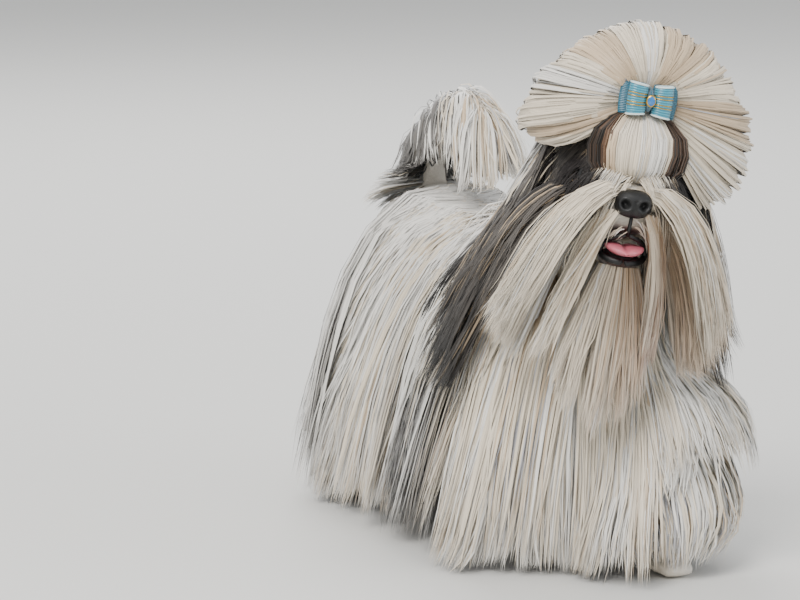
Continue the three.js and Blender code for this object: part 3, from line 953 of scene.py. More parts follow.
@dataclass(frozen=True)
class Leather:
    """Moist skin of the nose, lips and lids: fine pebbles, dark, with a wet gloss."""

    name: str
    colour: str
    roughness: float
    pebble_mm: float = 1.0
    wet: float = 0.5

    def make(self) -> bpy.types.Material:
        """The material.

        Returns:
            The new material.
        """
        n = Nodes(self.name)
        place = n.place_mm(self.pebble_mm)
        cells = n.add("ShaderNodeTexVoronoi", {"feature": "DISTANCE_TO_EDGE"}, Vector=place, Scale=1.0)
        tone = n.add("ShaderNodeTexNoise", None, Vector=n.place_mm(6.0), Scale=1.0, Detail=3.0)
        ramp = n.add("ShaderNodeValToRGB")
        n.tree.links.new(tone.outputs[0], ramp.inputs[0])
        low, high = linear(self.colour) * 0.7, linear(self.colour) * 1.5
        ramp.color_ramp.elements[0].color = (*low, 1)
        ramp.color_ramp.elements[1].color = (*high, 1)
        n.shade(Base_Color=ramp.outputs["Color"], Roughness=self.roughness, Coat_Weight=self.wet)
        n.shade(Coat_Roughness=0.15, Normal=n.bump(cells.outputs["Distance"], 0.35, 0.5))
        return n.material


@dataclass(frozen=True)
class Satin:
    """Ribbon cloth: fine cross ribs, and bands of painted sheen on their crests and painted shade in their
    grooves, that follow the weave.
    """

    name: str
    colour: str
    groove_shade: str
    rib_mm: float = 1.3

    def make(self) -> bpy.types.Material:
        """The material.

        Returns:
            The new material.
        """
        n = Nodes(self.name)
        uv = n.add("ShaderNodeUVMap", {"uv_map": "Ribbon"})
        parts = n.add("ShaderNodeSeparateXYZ", None, Vector=uv.outputs["UV"])
        ribs = n.add("ShaderNodeMath", {"operation": "MULTIPLY"})
        n.set(ribs, 0, parts.outputs["Y"])
        n.set(ribs, 1, 2 * math.pi * 1000.0 / self.rib_mm)
        wave = n.add("ShaderNodeMath", {"operation": "SINE"})
        n.set(wave, 0, ribs.outputs[0])
        tone = n.add("ShaderNodeMapRange", None, Value=wave.outputs[0])
        tone.inputs["From Min"].default_value = -1.0
        # painted sheen and shade: the lit colour on each rib's crest, the darker colour in its groove
        mix = n.add("ShaderNodeMix", {"data_type": "RGBA"})
        n.set(mix, "Factor", tone.outputs[0])
        mix.inputs[6].default_value = (*linear(self.groove_shade), 1)
        mix.inputs[7].default_value = (*linear(self.colour), 1)
        n.shade(Base_Color=mix.outputs[2], Roughness=0.32, Sheen_Weight=0.4, Specular_IOR_Level=0.6)
        n.shade(Normal=n.bump(wave.outputs[0], 0.25, 0.6))
        return n.material


@dataclass(frozen=True)
class Smooth:
    """A smooth glossy finish with a slight mottle, for glass, gilt and flesh."""

    name: str
    colour: str
    roughness: float
    metallic: float = 0.0
    subsurface: float = 0.0
    coat: float = 0.0
    mottle_mm: float = 3.0

    def make(self) -> bpy.types.Material:
        """The material.

        Returns:
            The new material.
        """
        n = Nodes(self.name)
        tone = n.add("ShaderNodeTexNoise", None, Vector=n.place_mm(self.mottle_mm), Scale=1.0, Detail=3.0)
        ramp = n.add("ShaderNodeValToRGB")
        n.tree.links.new(tone.outputs[0], ramp.inputs[0])
        ramp.color_ramp.elements[0].color = (*(linear(self.colour) * 0.78), 1)
        ramp.color_ramp.elements[1].color = (*np.minimum(linear(self.colour) * 1.2, 1), 1)
        n.shade(Base_Color=ramp.outputs["Color"], Roughness=self.roughness, Metallic=self.metallic)
        n.shade(Subsurface_Weight=self.subsurface, Coat_Weight=self.coat)
        n.shade(Normal=n.bump(tone.outputs[0], 0.15, 0.3))
        if self.subsurface:
            n.shade(Subsurface_Radius=(0.004, 0.0015, 0.001))
        return n.material


# Simple solid shapes.
def ellipsoid(at: Array, radii: Array, around: int = 32, down: int = 20) -> tuple[Array, Array]:
    """A closed ellipsoid.

    Args:
        at: its middle.
        radii: along x, y and z.
        around: faces round it.
        down: faces from pole to pole.

    Returns:
        Corners and triangles.
    """
    theta = np.linspace(0, math.pi, down + 1)[1:-1]
    phi = np.linspace(0, 2 * math.pi, around, endpoint=False)
    flat = np.sin(theta)[:, None]
    ring = xyz(flat * np.cos(phi), flat * np.sin(phi), np.cos(theta)[:, None]).reshape(-1, 3)
    points = np.concatenate([ring, [[0, 0, 1], [0, 0, -1]]])
    tris, rows = [], down - 1
    for r in range(rows - 1):
        for c in range(around):
            a, b = r * around + c, r * around + (c + 1) % around
            tris += [[a, a + around, b], [b, a + around, b + around]]
    top, bottom = rows * around, rows * around + 1
    for c in range(around):
        tris.append([top, c, (c + 1) % around])
        tris.append([bottom, (rows - 1) * around + (c + 1) % around, (rows - 1) * around + c])
    return points * radii + at, np.array(tris)


def tube(path: Array, radii: Array, sides: int = 12, closed: bool = False) -> tuple[Array, Array]:
    """A round tube along a path, with closed ends or as a ring.

    Args:
        path: (points, 3).
        radii: at each point.
        sides: round it.
        closed: whether it ends where it starts.

    Returns:
        Corners and triangles.
    """
    count = len(path)
    along = unit(np.roll(path, -1, 0) - np.roll(path, 1, 0)) if closed else unit(np.gradient(path, axis=0))
    side = np.cross(along, vec(0, 0, 1) if abs(along[0][2]) < 0.9 else vec(1, 0, 0))
    side = unit(side)
    up = np.cross(side, along)
    angle = np.linspace(0, 2 * math.pi, sides, endpoint=False)
    ring = side[:, None] * np.cos(angle)[None, :, None] + up[:, None] * np.sin(angle)[None, :, None]
    points = (path[:, None] + ring * np.asarray(radii)[:, None, None]).reshape(-1, 3)
    tris = []
    for k in range(count if closed else count - 1):
        for s in range(sides):
            a, b = k * sides + s, k * sides + (s + 1) % sides
            c, d = ((k + 1) % count) * sides + s, ((k + 1) % count) * sides + (s + 1) % sides
            tris += [[a, b, c], [b, d, c]]
    if not closed:
        points = np.concatenate([points, path[:1], path[-1:]])
        for s in range(sides):
            tris.append([count * sides, (s + 1) % sides, s])
            tris.append([count * sides + 1, (count - 1) * sides + s, (count - 1) * sides + (s + 1) % sides])
    return points, np.array(tris)


def joined(parts: Sequence[tuple[Array, Array]]) -> tuple[Array, Array]:
    """Several shapes as one set of corners and triangles.

    Args:
        parts: corners and triangles of each shape.

    Returns:
        All corners, and all triangles.
    """
    coords, tris, base = [], [], 0
    for points, faces in parts:
        coords.append(points)
        tris.append(faces + base)
        base += len(points)
    return np.concatenate(coords), np.concatenate(tris)


def applied(made: bpy.types.Object) -> bpy.types.Object:
    """The object with its modifiers turned into its mesh.

    Args:
        made: the object with modifiers.

    Returns:
        The same object.
    """
    graph = bpy.context.evaluated_depsgraph_get()
    mesh = bpy.data.meshes.new_from_object(made.evaluated_get(graph))
    made.modifiers.clear()
    old = made.data
    made.data = mesh
    mesh.name = made.name
    bpy.data.meshes.remove(old)
    return made


TAIL_LINE = path_of([0, 160, 230], [2, 168, 270], [2, 148, 312], [0, 106, 335], [-4, 62, 328])
NECK_LINE = path_of([0, -104, 225], [0, -122, 252], [0, -138, 278], [0, -150, 296])
FLESH = (
    "head neck chest torso_right torso_left rump_right rump_left foreleg_left foreleg_right hindleg_right "
    "hindleg_left tail_root tail_plume lower_jaw topknot forelock ear_right ear_left"
).split()
MOUTH_AT, MOUTH_RADII = vec(0, -72, -48), vec(17, 24, 9)


class Skin:
    """The one skin under the coat, from the muzzle to the tail's tip.

    Args:
        place: from millimetres to the frame.
        markings: the colours.
    """

    VOXEL = 3.2

    def __init__(self, place: Place, markings: Markings) -> None:
        self.place = place
        self.markings = markings

    def forms(self) -> list[tuple[Array, Array]]:
        """The ellipsoids and tubes that the skin is grown from.

        Returns:
            Corners and triangles of each form.
        """
        shapes = [ellipsoid(at, radii + 2) for at, radii in BODY.rows + NECK.rows]
        jaw_and_brow = [(vec(0, -56, -59), vec(17, 20, 8)), (vec(0, -34, 18), vec(26, 20, 22))]
        for at, radii in HEAD_ROWS + jaw_and_brow:
            points, tris = ellipsoid(at, radii)
            shapes.append((from_head(points), tris))
        for side in SIDES.values():
            points, tris = ellipsoid(vec(side * 54, 12, -12), vec(5, 24, 38))
            shapes.append((from_head(points), tris))
        points, tris = ellipsoid(vec(0, 8, 48), vec(34, 40, 28))
        shapes.append((from_head(points), tris))
        shapes.append(tube(spline(NECK_LINE[None], 12)[0], np.linspace(46, 36, 12), 24))
        for leg in LEGS.values():
            path = spline(leg.joints[None], 16)[0]
            path = path[path[:, 2] > 8]
            shapes.append(tube(path, np.linspace(26, 15, len(path)), 18))
            foot = leg.joints[-1] + vec(0, -7, 9)
            shapes.append(ellipsoid(foot, vec(17, 22, 9)))
            for toe in (-9, -3, 3, 9):
                shapes.append(ellipsoid(foot + vec(toe, -15, -2), vec(4.5, 8, 6.5), 16, 10))
        shapes.append(tube(spline(TAIL_LINE[None], 20)[0], np.linspace(11, 5, 20), 14))
        return shapes

    def build(self, finish: bpy.types.Material) -> bpy.types.Object:
        """The skin as one closed mesh, with the mouth cut into it.

        Args:
            finish: its material.

        Returns:
            The object.
        """
        points, tris = joined(self.forms())
        made = mesh_object("skin", self.place.to_frame(points), tris, finish)
        remesh = made.modifiers.new("grow", "REMESH")
        remesh.mode = "VOXEL"
        remesh.voxel_size = self.VOXEL * MM
        smooth = made.modifiers.new("smooth", "SMOOTH")
        smooth.iterations = 8
        smooth.factor = 0.5
        applied(made)
        hollow, faces = ellipsoid(MOUTH_AT, MOUTH_RADII)
        cutter = mesh_object("mouth_cutter", self.place.to_frame(from_head(hollow)), faces, finish)
        cut = made.modifiers.new("mouth", "BOOLEAN")
        cut.operation = "DIFFERENCE"
        cut.solver = "EXACT"
        cut.object = cutter
        applied(made)
        bpy.data.objects.remove(cutter)
        made.data.shade_smooth()
        coords = np.empty(len(made.data.vertices) * 3, np.float32)
        made.data.vertices.foreach_get("co", coords)
        dog = (coords.reshape(-1, 3).astype(float) - self.place.shift) / MM
        paint_mesh(made, self.markings.skin(dog))
        LOG.info("skin: %d faces", len(made.data.polygons))
        return made


# The coat, region by region.
class Tile(Enum):
    """Tiles of the skin's unwrap, a 4 by 4 sheet: each region keeps one."""

    TORSO_RIGHT = 0
    TORSO_LEFT = 1
    RUMP = 2
    CHEST = 3
    NECK = 4
    TOPKNOT = 5
    FORELOCK = 6
    MUZZLE = 7
    BEARD = 8
    EAR = 9
    WHISKER = 10
    TAIL = 11
    LEG = 12
    FACE = 13
    LEG_HIND = 14
    CHEEK = 15


def on_tile(tile: Tile, u: Array, v: Array) -> Array:
    """Places on a tile of the unwrap from shares across and up it.

    Args:
        tile: the tile.
        u: shares across it.
        v: shares up it.

    Returns:
        A place for each pair of shares.
    """
    column, row = tile.value % 4, tile.value // 4
    margin = 0.01
    size = 0.25 - 2 * margin
    u, v = np.clip(u, 0, 1), np.clip(v, 0, 1)
    return np.stack([column * 0.25 + margin + size * u, row * 0.25 + margin + size * v], -1)


@dataclass(frozen=True)
class Limits:
    """How far the coat may reach: it bends in softly before the box, as against a curtain.

    Args:
        low: lowest corner, dog millimetres.
        high: highest corner.
        soft: the depth over which hair is turned back.
    """

    low: Array
    high: Array
    soft: float = 24.0

    def held(self, paths: Array) -> Array:
        """Paths pressed softly into the box.

        Args:
            paths: points of the hair.

        Returns:
            The pressed points.
        """
        top, bottom = self.high - self.soft, self.low + self.soft
        over, under = np.maximum(paths - top, 0), np.maximum(bottom - paths, 0)
        pressed = paths - over + self.soft * np.tanh(over / self.soft)
        pressed = pressed + under - self.soft * np.tanh(under / self.soft)
        pressed[..., 2] = np.where(paths[..., 2] < self.high[2] - self.soft, paths[..., 2], pressed[..., 2])
        return pressed


@dataclass
class CoatMaker:
    """Grows each region of the coat.

    Args:
        markings: the colours.
        limits: how far it may reach.
        steps: pieces of each draped strand.
        made: the strands of each piece.
    """

    markings: Markings
    limits: Limits
    steps: int = 7
    FILL_SHARE = 0.4
    FILL_DEPTH = 3.0
    FAN_FILL_DEPTH = 1.0
    FILL_WIDTH = 1.55
    TOP_WIDTH = 0.66
    BELL_STEPS = 10
    NAPE_LOW = 0.4
    NAPE_Z = (190.0, 370.0)
    made: dict[str, list[Hair]] = field(default_factory=dict)

    def keep(
        self,
        piece: str,
        kind: Coat,
        paths: Array,
        forms: Forms | None,
        flat: Array,
        section: Section,
        lock: Lock,
        draw: Draw,
        out: Array | None = None,
    ) -> None:
        """Gathers, colours and files strands for a piece.

        Args:
            piece: the object's name.
            kind: the part of the coat.
            paths: the strands.
            forms: what they lie on, for their flat side.
            flat: places on the unwrap.
            section: their section.
            lock: how they gather.
            draw: the random source.
            out: directions away from the forms, where no forms are given.
        """
        moved, own = gather(paths, lock, draw)
        moved = self.limits.held(moved)
        if out is None:
            out = forms.outward(moved)
        at = paths.shape[1] // 2 if kind is Coat.TOPKNOT else 0
        colours = self.markings.strand(kind, paths[:, at], own, draw, paths.shape[1])
        inner = draw.flat(len(paths)) < self.FILL_SHARE
        depth = self.FAN_FILL_DEPTH if kind is Coat.TOPKNOT else self.FILL_DEPTH
        sink = np.minimum(2 * np.linspace(0, 1, paths.shape[1]), 1)[None, :, None] * depth
        moved = np.where(inner[:, None, None], moved - out * sink, moved)
        moved[..., 2] = np.maximum(moved[..., 2], LOWEST_TIP)
        share = np.where(inner, self.FILL_WIDTH, self.TOP_WIDTH)
        widths = draw.around(section.width, 0.3, len(paths)) * share
        self.made.setdefault(piece, []).append(Hair(moved, out, flat, colours, widths, section))

    def torso(self, name: str, side: int, count: int, seed: int) -> None:
        """Long hair parted along the back and swept down a flank.

        Args:
            name: of the piece.
            side: -1 for the dog's right, 1 for its left.
            count: number of strands.
            seed: of its random draws.
        """
        draw = Draw(seed)
        degrees = -3 + 122 * draw.flat(count) ** 1.5
        y = draw.flat(count, -106, 130)
        a = np.radians(degrees)
        ray = xyz(side * np.sin(a), 0.0, np.cos(a))
        heart = xyz(0.0, y, 188.0)
        roots = heart + ray * BODY.reach(heart, ray, 1.0)[:, None]
        wind = noise(roots, 70, 5.0) - 0.5
        starts = xyz(side * np.cos(a), 0.25 + 0.5 * wind, -np.sin(a)) + ray * 0.1
        starts = starts + draw.normal((count, 3), 0.08)
        lengths = table([(0, 286), (16, 278), (62, 228), (98, 150), (119, 110)], degrees)
        lengths = draw.around(lengths * (0.9 + 0.16 * noise(roots, 28, 3.0)), 0.07, count)
        sway = 0.24 + 0.3 * wind
        pull = xyz(side * 0.08, sway, -1.0)
        rise = (3.0, table([(0, 22), (62, 14), (119, 3)], degrees) + draw.flat(count, -2, 4))
        flow = Flow(pull + draw.normal((count, 3), 0.03), 0.3, rise, UNDER)
        paths = drape(roots, starts, lengths, flow, self.steps)
        tile = Tile.TORSO_RIGHT if side < 0 else Tile.TORSO_LEFT
        flat = on_tile(tile, (y + 104) / 230, degrees / 119)
        self.keep(name, Coat.BODY, paths, UNDER, flat, Section(2.5, 0.18), Lock(44, 0.55, 8.0), draw)

    def ring(
        self, name: str, count: int, seed: int, middle: float, span: tuple[float, float], tile: Tile
    ) -> None:
        """Hair of the chest or rump, round a vertical line at a place along the body.

        Args:
            name: of the piece.
            count: number of strands.
            seed: of its random draws.
            middle: place of the vertical line along the body.
            span: first and last turn round it, in degrees.
            tile: its tile of the unwrap.
        """
        draw = Draw(seed)
        share = draw.flat(count) ** 1.1
        z = (246 if middle < 0 else 256) - 116 * share
        degrees = draw.flat(count, *span)
        a = np.radians(degrees)
        ray = xyz(np.sin(a), -np.cos(a), 0.0)
        heart = xyz(0.0, middle, z)
        roots = heart + ray * BODY.reach(heart, ray, 1.0)[:, None]
        wind = noise(roots, 60, 7.0) - 0.5
        front = middle < 0
        starts = ray * 0.55 + vec(0, 0, -1.0) + draw.normal((count, 3), 0.1)
        starts[:, 0] += 0.9 * wind if front else 0.4 * wind
        lengths = table([(136, 136), (160, 164), (200, 210), (246, 256)], z)
        lengths = lengths * (0.9 + 0.16 * noise(roots, 26, 4.0))
        if front:
            lengths = lengths * np.where(ray[:, 0] > 0.1, 0.72, 1.0)
        drag = xyz(ray[:, 0] * 0.1 + 0.25 * wind, 0.06, -1.0)
        rise = (3.0, 14 - 10 * share + draw.flat(count, -2, 3))
        flow = Flow(drag + draw.normal((count, 3), 0.03), 0.34, rise, UNDER)
        paths = drape(roots, starts, draw.around(lengths, 0.07, count), flow, self.steps)
        flat = on_tile(tile, (degrees - span[0]) / (span[1] - span[0]), share)
        self.keep(name, Coat.BODY, paths, UNDER, flat, Section(2.4, 0.18), Lock(40, 0.55, 8.0), draw)

    def neck(self, count: int, seed: int) -> None:
        """The mane over the shoulders.

        Args:
            count: number of strands.
            seed: of its random draws.
        """
        draw = Draw(seed)
        degrees, u = draw.flat(count, -35, 215), draw.flat(count, 0.1, 0.95)
        a = np.radians(degrees)
        ray = xyz(np.cos(a), np.sin(a), 0.0)
        roots = curve_at(NECK_LINE, u) + ray * 34
        starts = ray * 0.6 + vec(0, 0.1, -1.0) + draw.normal((count, 3), 0.1)
        pull = xyz(ray[:, 0] * 0.2, 0.3, -1.0)
        forms = UNDER + NECK
        lengths = draw.around(125.0, 0.15, count)
        rise = (3.0, 8 + 4 * u)
        paths = drape(roots, starts, lengths, Flow(pull, 0.34, rise, forms), self.steps)
        flat = on_tile(Tile.NECK, (degrees + 35) / 250, 0.62 * u)
        self.keep("coat_neck", Coat.BODY, paths, forms, flat, Section(2.3, 0.18), Lock(36, 0.5, 4.0), draw)

    def nape(self, count: int, seed: int) -> None:
        """The mane from the back of the skull down over the neck to the withers.

        Args:
            count: number of strands.
            seed: of its random draws.
        """
        draw = Draw(seed)
        turn, high = draw.flat(count, -1.9, 1.9), 0.99 - 1.7 * draw.flat(count) ** 1.7
        flat_ray = np.sqrt(1 - high**2)
        ray = xyz(np.sin(turn) * flat_ray, np.cos(turn) * flat_ray, high)
        roots = SKULL.settled(from_head(vec(0, 4, 0) + ray * vec(44, 48, 42)), 3)
        low = draw.flat(count) < self.NAPE_LOW
        spine = curve_at(NECK_LINE, draw.flat(count, 0.0, 0.98))
        spine = spine + xyz(30 * np.sin(turn), 30 * np.cos(turn), 0.0)
        roots = np.where(low[:, None], spine, roots)
        out = xyz(np.sin(turn), np.cos(turn), 0.0)
        starts = out * 0.5 + vec(0, 0.2, -0.9) + draw.normal((count, 3), 0.1)
        pull = xyz(out[:, 0] * 0.3, 0.35, -1.0)
        flow = Flow(pull + draw.normal((count, 3), 0.04), 0.28, (2.0, 12 + draw.flat(count, -3, 5)), FRONT)
        paths = drape(roots, starts, draw.around(130.0, 0.16, count), flow, self.steps)
        tall = np.clip((roots[:, 2] - self.NAPE_Z[0]) / (self.NAPE_Z[1] - self.NAPE_Z[0]), 0, 1)
        flat = on_tile(Tile.NECK, (turn + 1.9) / 3.8, 0.64 + 0.35 * tall)
        self.keep("coat_nape", Coat.BODY, paths, FRONT, flat, Section(2.2, 0.18), Lock(36, 0.5, 4.0), draw)

    def leg(self, piece: str, leg: Leg, count: int, seed: int, tile: Tile, slot: float) -> None:
        """A bell of hair that swells out over the paw.

        Args:
            piece: name of the piece.
            leg: the leg.
            count: number of strands.
            seed: of its random draws.
            tile: its tile of the unwrap.
            slot: its quarter of the tile.
        """
        draw = Draw(seed)
        u = draw.flat(count, leg.top, 0.86)
        degrees = draw.flat(count, 0, 360)
        a = np.radians(degrees)
        ray = xyz(np.cos(a), np.sin(a), 0.0)
        low = (u - leg.top) / (0.86 - leg.top)
        at = curve_at(leg.joints, u)
        foot = curve_at(leg.joints, np.full(count, 0.84))
        swell = (leg.swell * (1 - 0.45 * low) * draw.around(1.0, 0.1, count))[:, None]
        tip = foot + ray * swell * 0.76
        tip[:, 2] = draw.flat(count, 3, 26)
        down = at * 0.62 + foot * 0.38
        controls = np.stack(
            [
                at + ray * 16,
                at + ray * swell * 0.68 + vec(0, 0, -2),
                down + ray * swell,
                at * 0.28 + foot * 0.72 + ray * swell * 1.06,
                tip,
            ],
            1,
        )
        controls[:, 1:4, 2] = np.minimum(controls[:, 1:4, 2], controls[:, :1, 2])
        controls[:, 3, 2] = np.maximum(controls[:, 3, 2], tip[:, 2] + 8)
        paths = spline(controls, self.BELL_STEPS)
        flat = on_tile(tile, slot + degrees / 360 * 0.48, low)
        out = np.broadcast_to(ray[:, None], paths.shape)
        self.keep(piece, Coat.LEG, paths, None, flat, Section(2.2, 0.18), Lock(34, 0.45, 3.5), draw, out)

    FAN = (
        (-128, 76), (-118, 90), (-108, 92), (-95, 86), (-70, 70), (-40, 56), (-10, 54),
        (30, 58), (60, 66), (97, 88), (118, 99), (146, 100),
    )

    def topknot(self, count: int, seed: int) -> None:
        """The tied hair, fanned out from its band and curled back over the skull.

        Args:
            count: number of strands.
            seed: of its random draws.
        """
        draw = Draw(seed)
        degrees = draw.flat(count, -128, 146)
        layer = draw.flat(count) ** 1.3
        reach = table(self.FAN, degrees)
        wander = noise(xyz(degrees, 40 * layer, 0.0), 22, 9.0) - 0.5
        reach = reach * (1 - 0.4 * layer) * draw.around(1.0 + 0.07 * wander, 0.03, count)
        rolled = np.sin(np.radians(degrees) * 1.5)[:, None] * np.linspace(0, 1, 8)[None] ** 1.5
        swirl = (12 + 44 * wander[:, None]) * rolled
        a = np.radians(degrees[:, None] + swirl)
        bends = path_of(
            [0.05, 12, 0], [0.3, -12, 0], [0.62, -15, 0], [0.87, -5, 0],
            [1, 15, 0], [1, 38, -2], [0.9, 62, -8], [0.76, 82, -14],
        )
        out = bends[None, :, 0] * reach[:, None]
        back = bends[None, :, 1] + 32 * layer[:, None] * bends[None, :, 0]
        band = vec(2, -46, 60)
        head = xyz(band[0] + np.sin(a) * out, band[1] + back, band[2] + np.cos(a) * out + bends[None, :, 2])
        head = head + draw.normal((count, 1, 3), 1.1) * np.linspace(0.2, 1, 8)[None, :, None]
        paths = spline(from_head(head), 11)
        away = unit(paths - from_head(vec(0, 16, 34)))
        flat = on_tile(Tile.TOPKNOT, (degrees + 128) / 274, layer)
        lock = Lock(24, 0.16, 3.0, 0.03, 1.5)
        self.keep(
            "coat_topknot", Coat.TOPKNOT, paths, None, flat, Section(2.3, 0.18, 0.8, 0.5), lock, draw, away,
        )

    def forelock(self, count: int, seed: int) -> None:
        """The pouf between the nose's bridge and the band.

        Args:
            count: number of strands.
            seed: of its random draws.
        """
        draw = Draw(seed)
        share = draw.flat(count, -0.64, 0.64)
        lean = share * 2.4
        beside = np.sign(share) * np.maximum(np.abs(share) - 0.42, 0) * 48
        bulge = np.cos(lean * 0.8) * draw.around(1.0, 0.12, count)
        controls = np.stack(
            [
                xyz(share * 24, -54, -3),
                xyz(np.sin(lean) * 22 + beside, -55 - 17 * bulge, 6),
                xyz(np.sin(lean) * 27 + beside, -56 - 20 * bulge, 24),
                xyz(np.sin(lean) * 23 + 0.7 * beside, -56 - 15 * bulge, 41),
                xyz(share * 12, -52, 54),
            ],
            1,
        )
        paths = spline(from_head(controls + draw.normal((count, 1, 3), 0.8)), self.steps)
        away = unit(paths - from_head(vec(0, -40, 22)))
        flat = on_tile(Tile.FORELOCK, share / 1.28 + 0.5, draw.flat(count))
        lock = Lock(40, 0.2, 0.8, 0.03, 0.4)
        self.keep("coat_forelock", Coat.TOPKNOT, paths, None, flat, Section(1.5, 0.22), lock, draw, away)
        sides = np.abs(share) + draw.normal((count,), 0.03) > 0.43
        hair = self.made["coat_forelock"][-1]
        brown = 0.3 * draw.flat(int(sides.sum()))[:, None, None] ** 3
        hair.colours[sides] = hair.colours[sides] * (0.02 + brown * vec(0.8, 0.5, 0.35)) + BLACK

    def moustache(self, count: int, seed: int) -> None:
        """Hair parted on the bridge of the nose that arches out and down past the mouth.

        Args:
            count: number of strands.
            seed: of its random draws.
        """
        for side, pull in ((-1, vec(-0.34, 0.4, -1)), (1, vec(0.16, 0.14, -1))):
            draw = Draw(seed + side)
            share = draw.flat(count)
            deep = draw.flat(count)
            local = xyz(side * (2 + 24 * share), -72 + 20 * share + 8 * deep, -5 - 36 * share**2 + 2 * deep)
            roots = from_head(local)
            starts = turned(xyz(side * 0.95, share * 0.1 - 0.15, -0.4 - 0.7 * share))
            starts = starts + draw.normal((count, 3), 0.1)
            lengths = draw.around(134 - 22 * share, 0.12, count)
            rise = (1.0, 12 - 5 * share + draw.flat(count, -3, 4))
            flow = Flow(pull + draw.normal((count, 3), 0.05), 0.28, rise, FRONT)
            paths = drape(roots, starts, lengths, flow, self.steps)
            flat = on_tile(Tile.MUZZLE, 0.5 + side * 0.5 * share, deep)
            self.keep(
                "coat_moustache",
                Coat.MUZZLE,
                paths,
                FRONT,
                flat,
                Section(1.5, 0.22),
                Lock(34, 0.5, 3.5),
                draw,
            )

    def whiskers(self, count: int, seed: int) -> None:
        """Hair of the muzzle from beside the nose down past the corners of the mouth.

        Args:
            count: number of strands.
            seed: of its random draws.
        """
        for side in SIDES.values():
            draw = Draw(seed + side)
            low, deep = draw.flat(count), draw.flat(count)
            local = xyz(side * (9 + 13 * low), -80 + 20 * deep, -20 - 30 * low)
            roots = FRONT.settled(from_head(local), 2)
            starts = turned(xyz(side * 0.75, deep * 0.4 - 0.3, -1.0))
            lengths = draw.around(96 - 20 * deep, 0.25, count)
            down = turned(vec(side * 0.12, 0.2, -1)[None])
            pull = down + vec(-0.12, 0, 0) + draw.normal((count, 3), 0.05)
            flow = Flow(pull, 0.26, (1.0, 9 + draw.flat(count, -3, 4)), FRONT)
            paths = drape(roots, starts + draw.normal((count, 3), 0.1), lengths, flow, self.steps)
            flat = on_tile(Tile.WHISKER, 0.5 + side * 0.5 * low, deep)
            self.keep(
                "coat_whiskers",
                Coat.MUZZLE,
                paths,
                FRONT,
                flat,
                Section(1.5, 0.22),
                Lock(26, 0.5, 4.0),
                draw,
            )

    def cheeks(self, count: int, seed: int) -> None:
        """Hair of the cheeks, from under the eyes back to the ears.

        Args:
            count: number of strands.
            seed: of its random draws.
        """
        for side, pull in ((-1, vec(-0.3, 0.42, -1)), (1, vec(0.2, 0.2, -1))):
            draw = Draw(seed + side)
            forward, low = draw.flat(count), draw.flat(count)
            local = xyz(side * (30 + 8 * draw.flat(count)), -44 + 50 * forward, -6 - 30 * low)
            roots = from_head(local)
            starts = turned(xyz(side * 0.6, 0.2 + 0.3 * forward, -1.0))
            lengths = draw.around(112 - 12 * low, 0.15, count)
            rise = (1.0, 12 + draw.flat(count, -5, 5))
            flow = Flow(pull + draw.normal((count, 3), 0.05), 0.24, rise, FRONT)
            paths = drape(roots, starts + draw.normal((count, 3), 0.12), lengths, flow, self.steps)
            flat = on_tile(Tile.CHEEK, forward, 0.5 + side * 0.5 * low)
            self.keep(
                "coat_cheeks", Coat.CHEEK, paths, FRONT, flat, Section(1.6, 0.22), Lock(30, 0.5, 3.5), draw,
            )

    def beard(self, count: int, seed: int) -> None:
        """Hair that hangs from the jaw.

        Args:
            count: number of strands.
            seed: of its random draws.
        """
        draw = Draw(seed)
        share, deep = draw.flat(count, -0.5, 0.5), draw.flat(count)
        local = xyz(share * 30, -74 + np.abs(share) * 16 + 26 * deep, -63 + 0 * share - 2 * deep)
        starts = turned(xyz(share * 0.9, -0.3, -1.0))
        pull = xyz(share * 0.3 - 0.12, 0.18, -1.0)
        flow = Flow(pull, 0.15, (1.0, 24 - 12 * deep), FRONT)
        lengths = draw.around(112 - 70 * np.abs(share), 0.3, count)
        paths = drape(from_head(local), starts, lengths, flow, self.steps)
        flat = on_tile(Tile.BEARD, share + 0.5, deep)
        self.keep(
            "coat_beard", Coat.MUZZLE, paths, FRONT, flat, Section(1.4, 0.22), Lock(24, 0.55, 3.0), draw,
        )

    def ear(self, name: str, side: int, count: int, seed: int) -> None:
        """Long dark hair of an ear.

        Args:
            name: of the piece.
            side: -1 for the dog's right, 1 for its left.
            count: number of strands.
            seed: of its random draws.
        """
        draw = Draw(seed)
        across, low = draw.flat(count, -0.5, 0.5), draw.flat(count)
        local = xyz(side * (54 + 4 * draw.flat(count)), 12 + across * 42, 22 - 66 * low)
        starts = turned(xyz(side * (0.3 + 0.25 * low), across * 0.5, -1.0))
        pull = vec(-0.1, 0.62, -1) if side < 0 else vec(0.2, 0.3, -1)
        long = 192 if side < 0 else 160
        rise = (8.0, 34 - 12 * low + draw.flat(count, -4, 4))
        flow = Flow(pull + draw.normal((count, 3), 0.05), 0.16, rise, FRONT)
        lengths = draw.around(long - 40 * low, 0.2, count)
        paths = drape(from_head(local), starts + draw.normal((count, 3), 0.08), lengths, flow, self.steps)
        flat = on_tile(Tile.EAR, (across + 0.5) / 2 + (side > 0) * 0.5, low)
        self.keep(name, Coat.EAR, paths, FRONT, flat, Section(1.9, 0.2), Lock(36, 0.72, 6.0), draw)

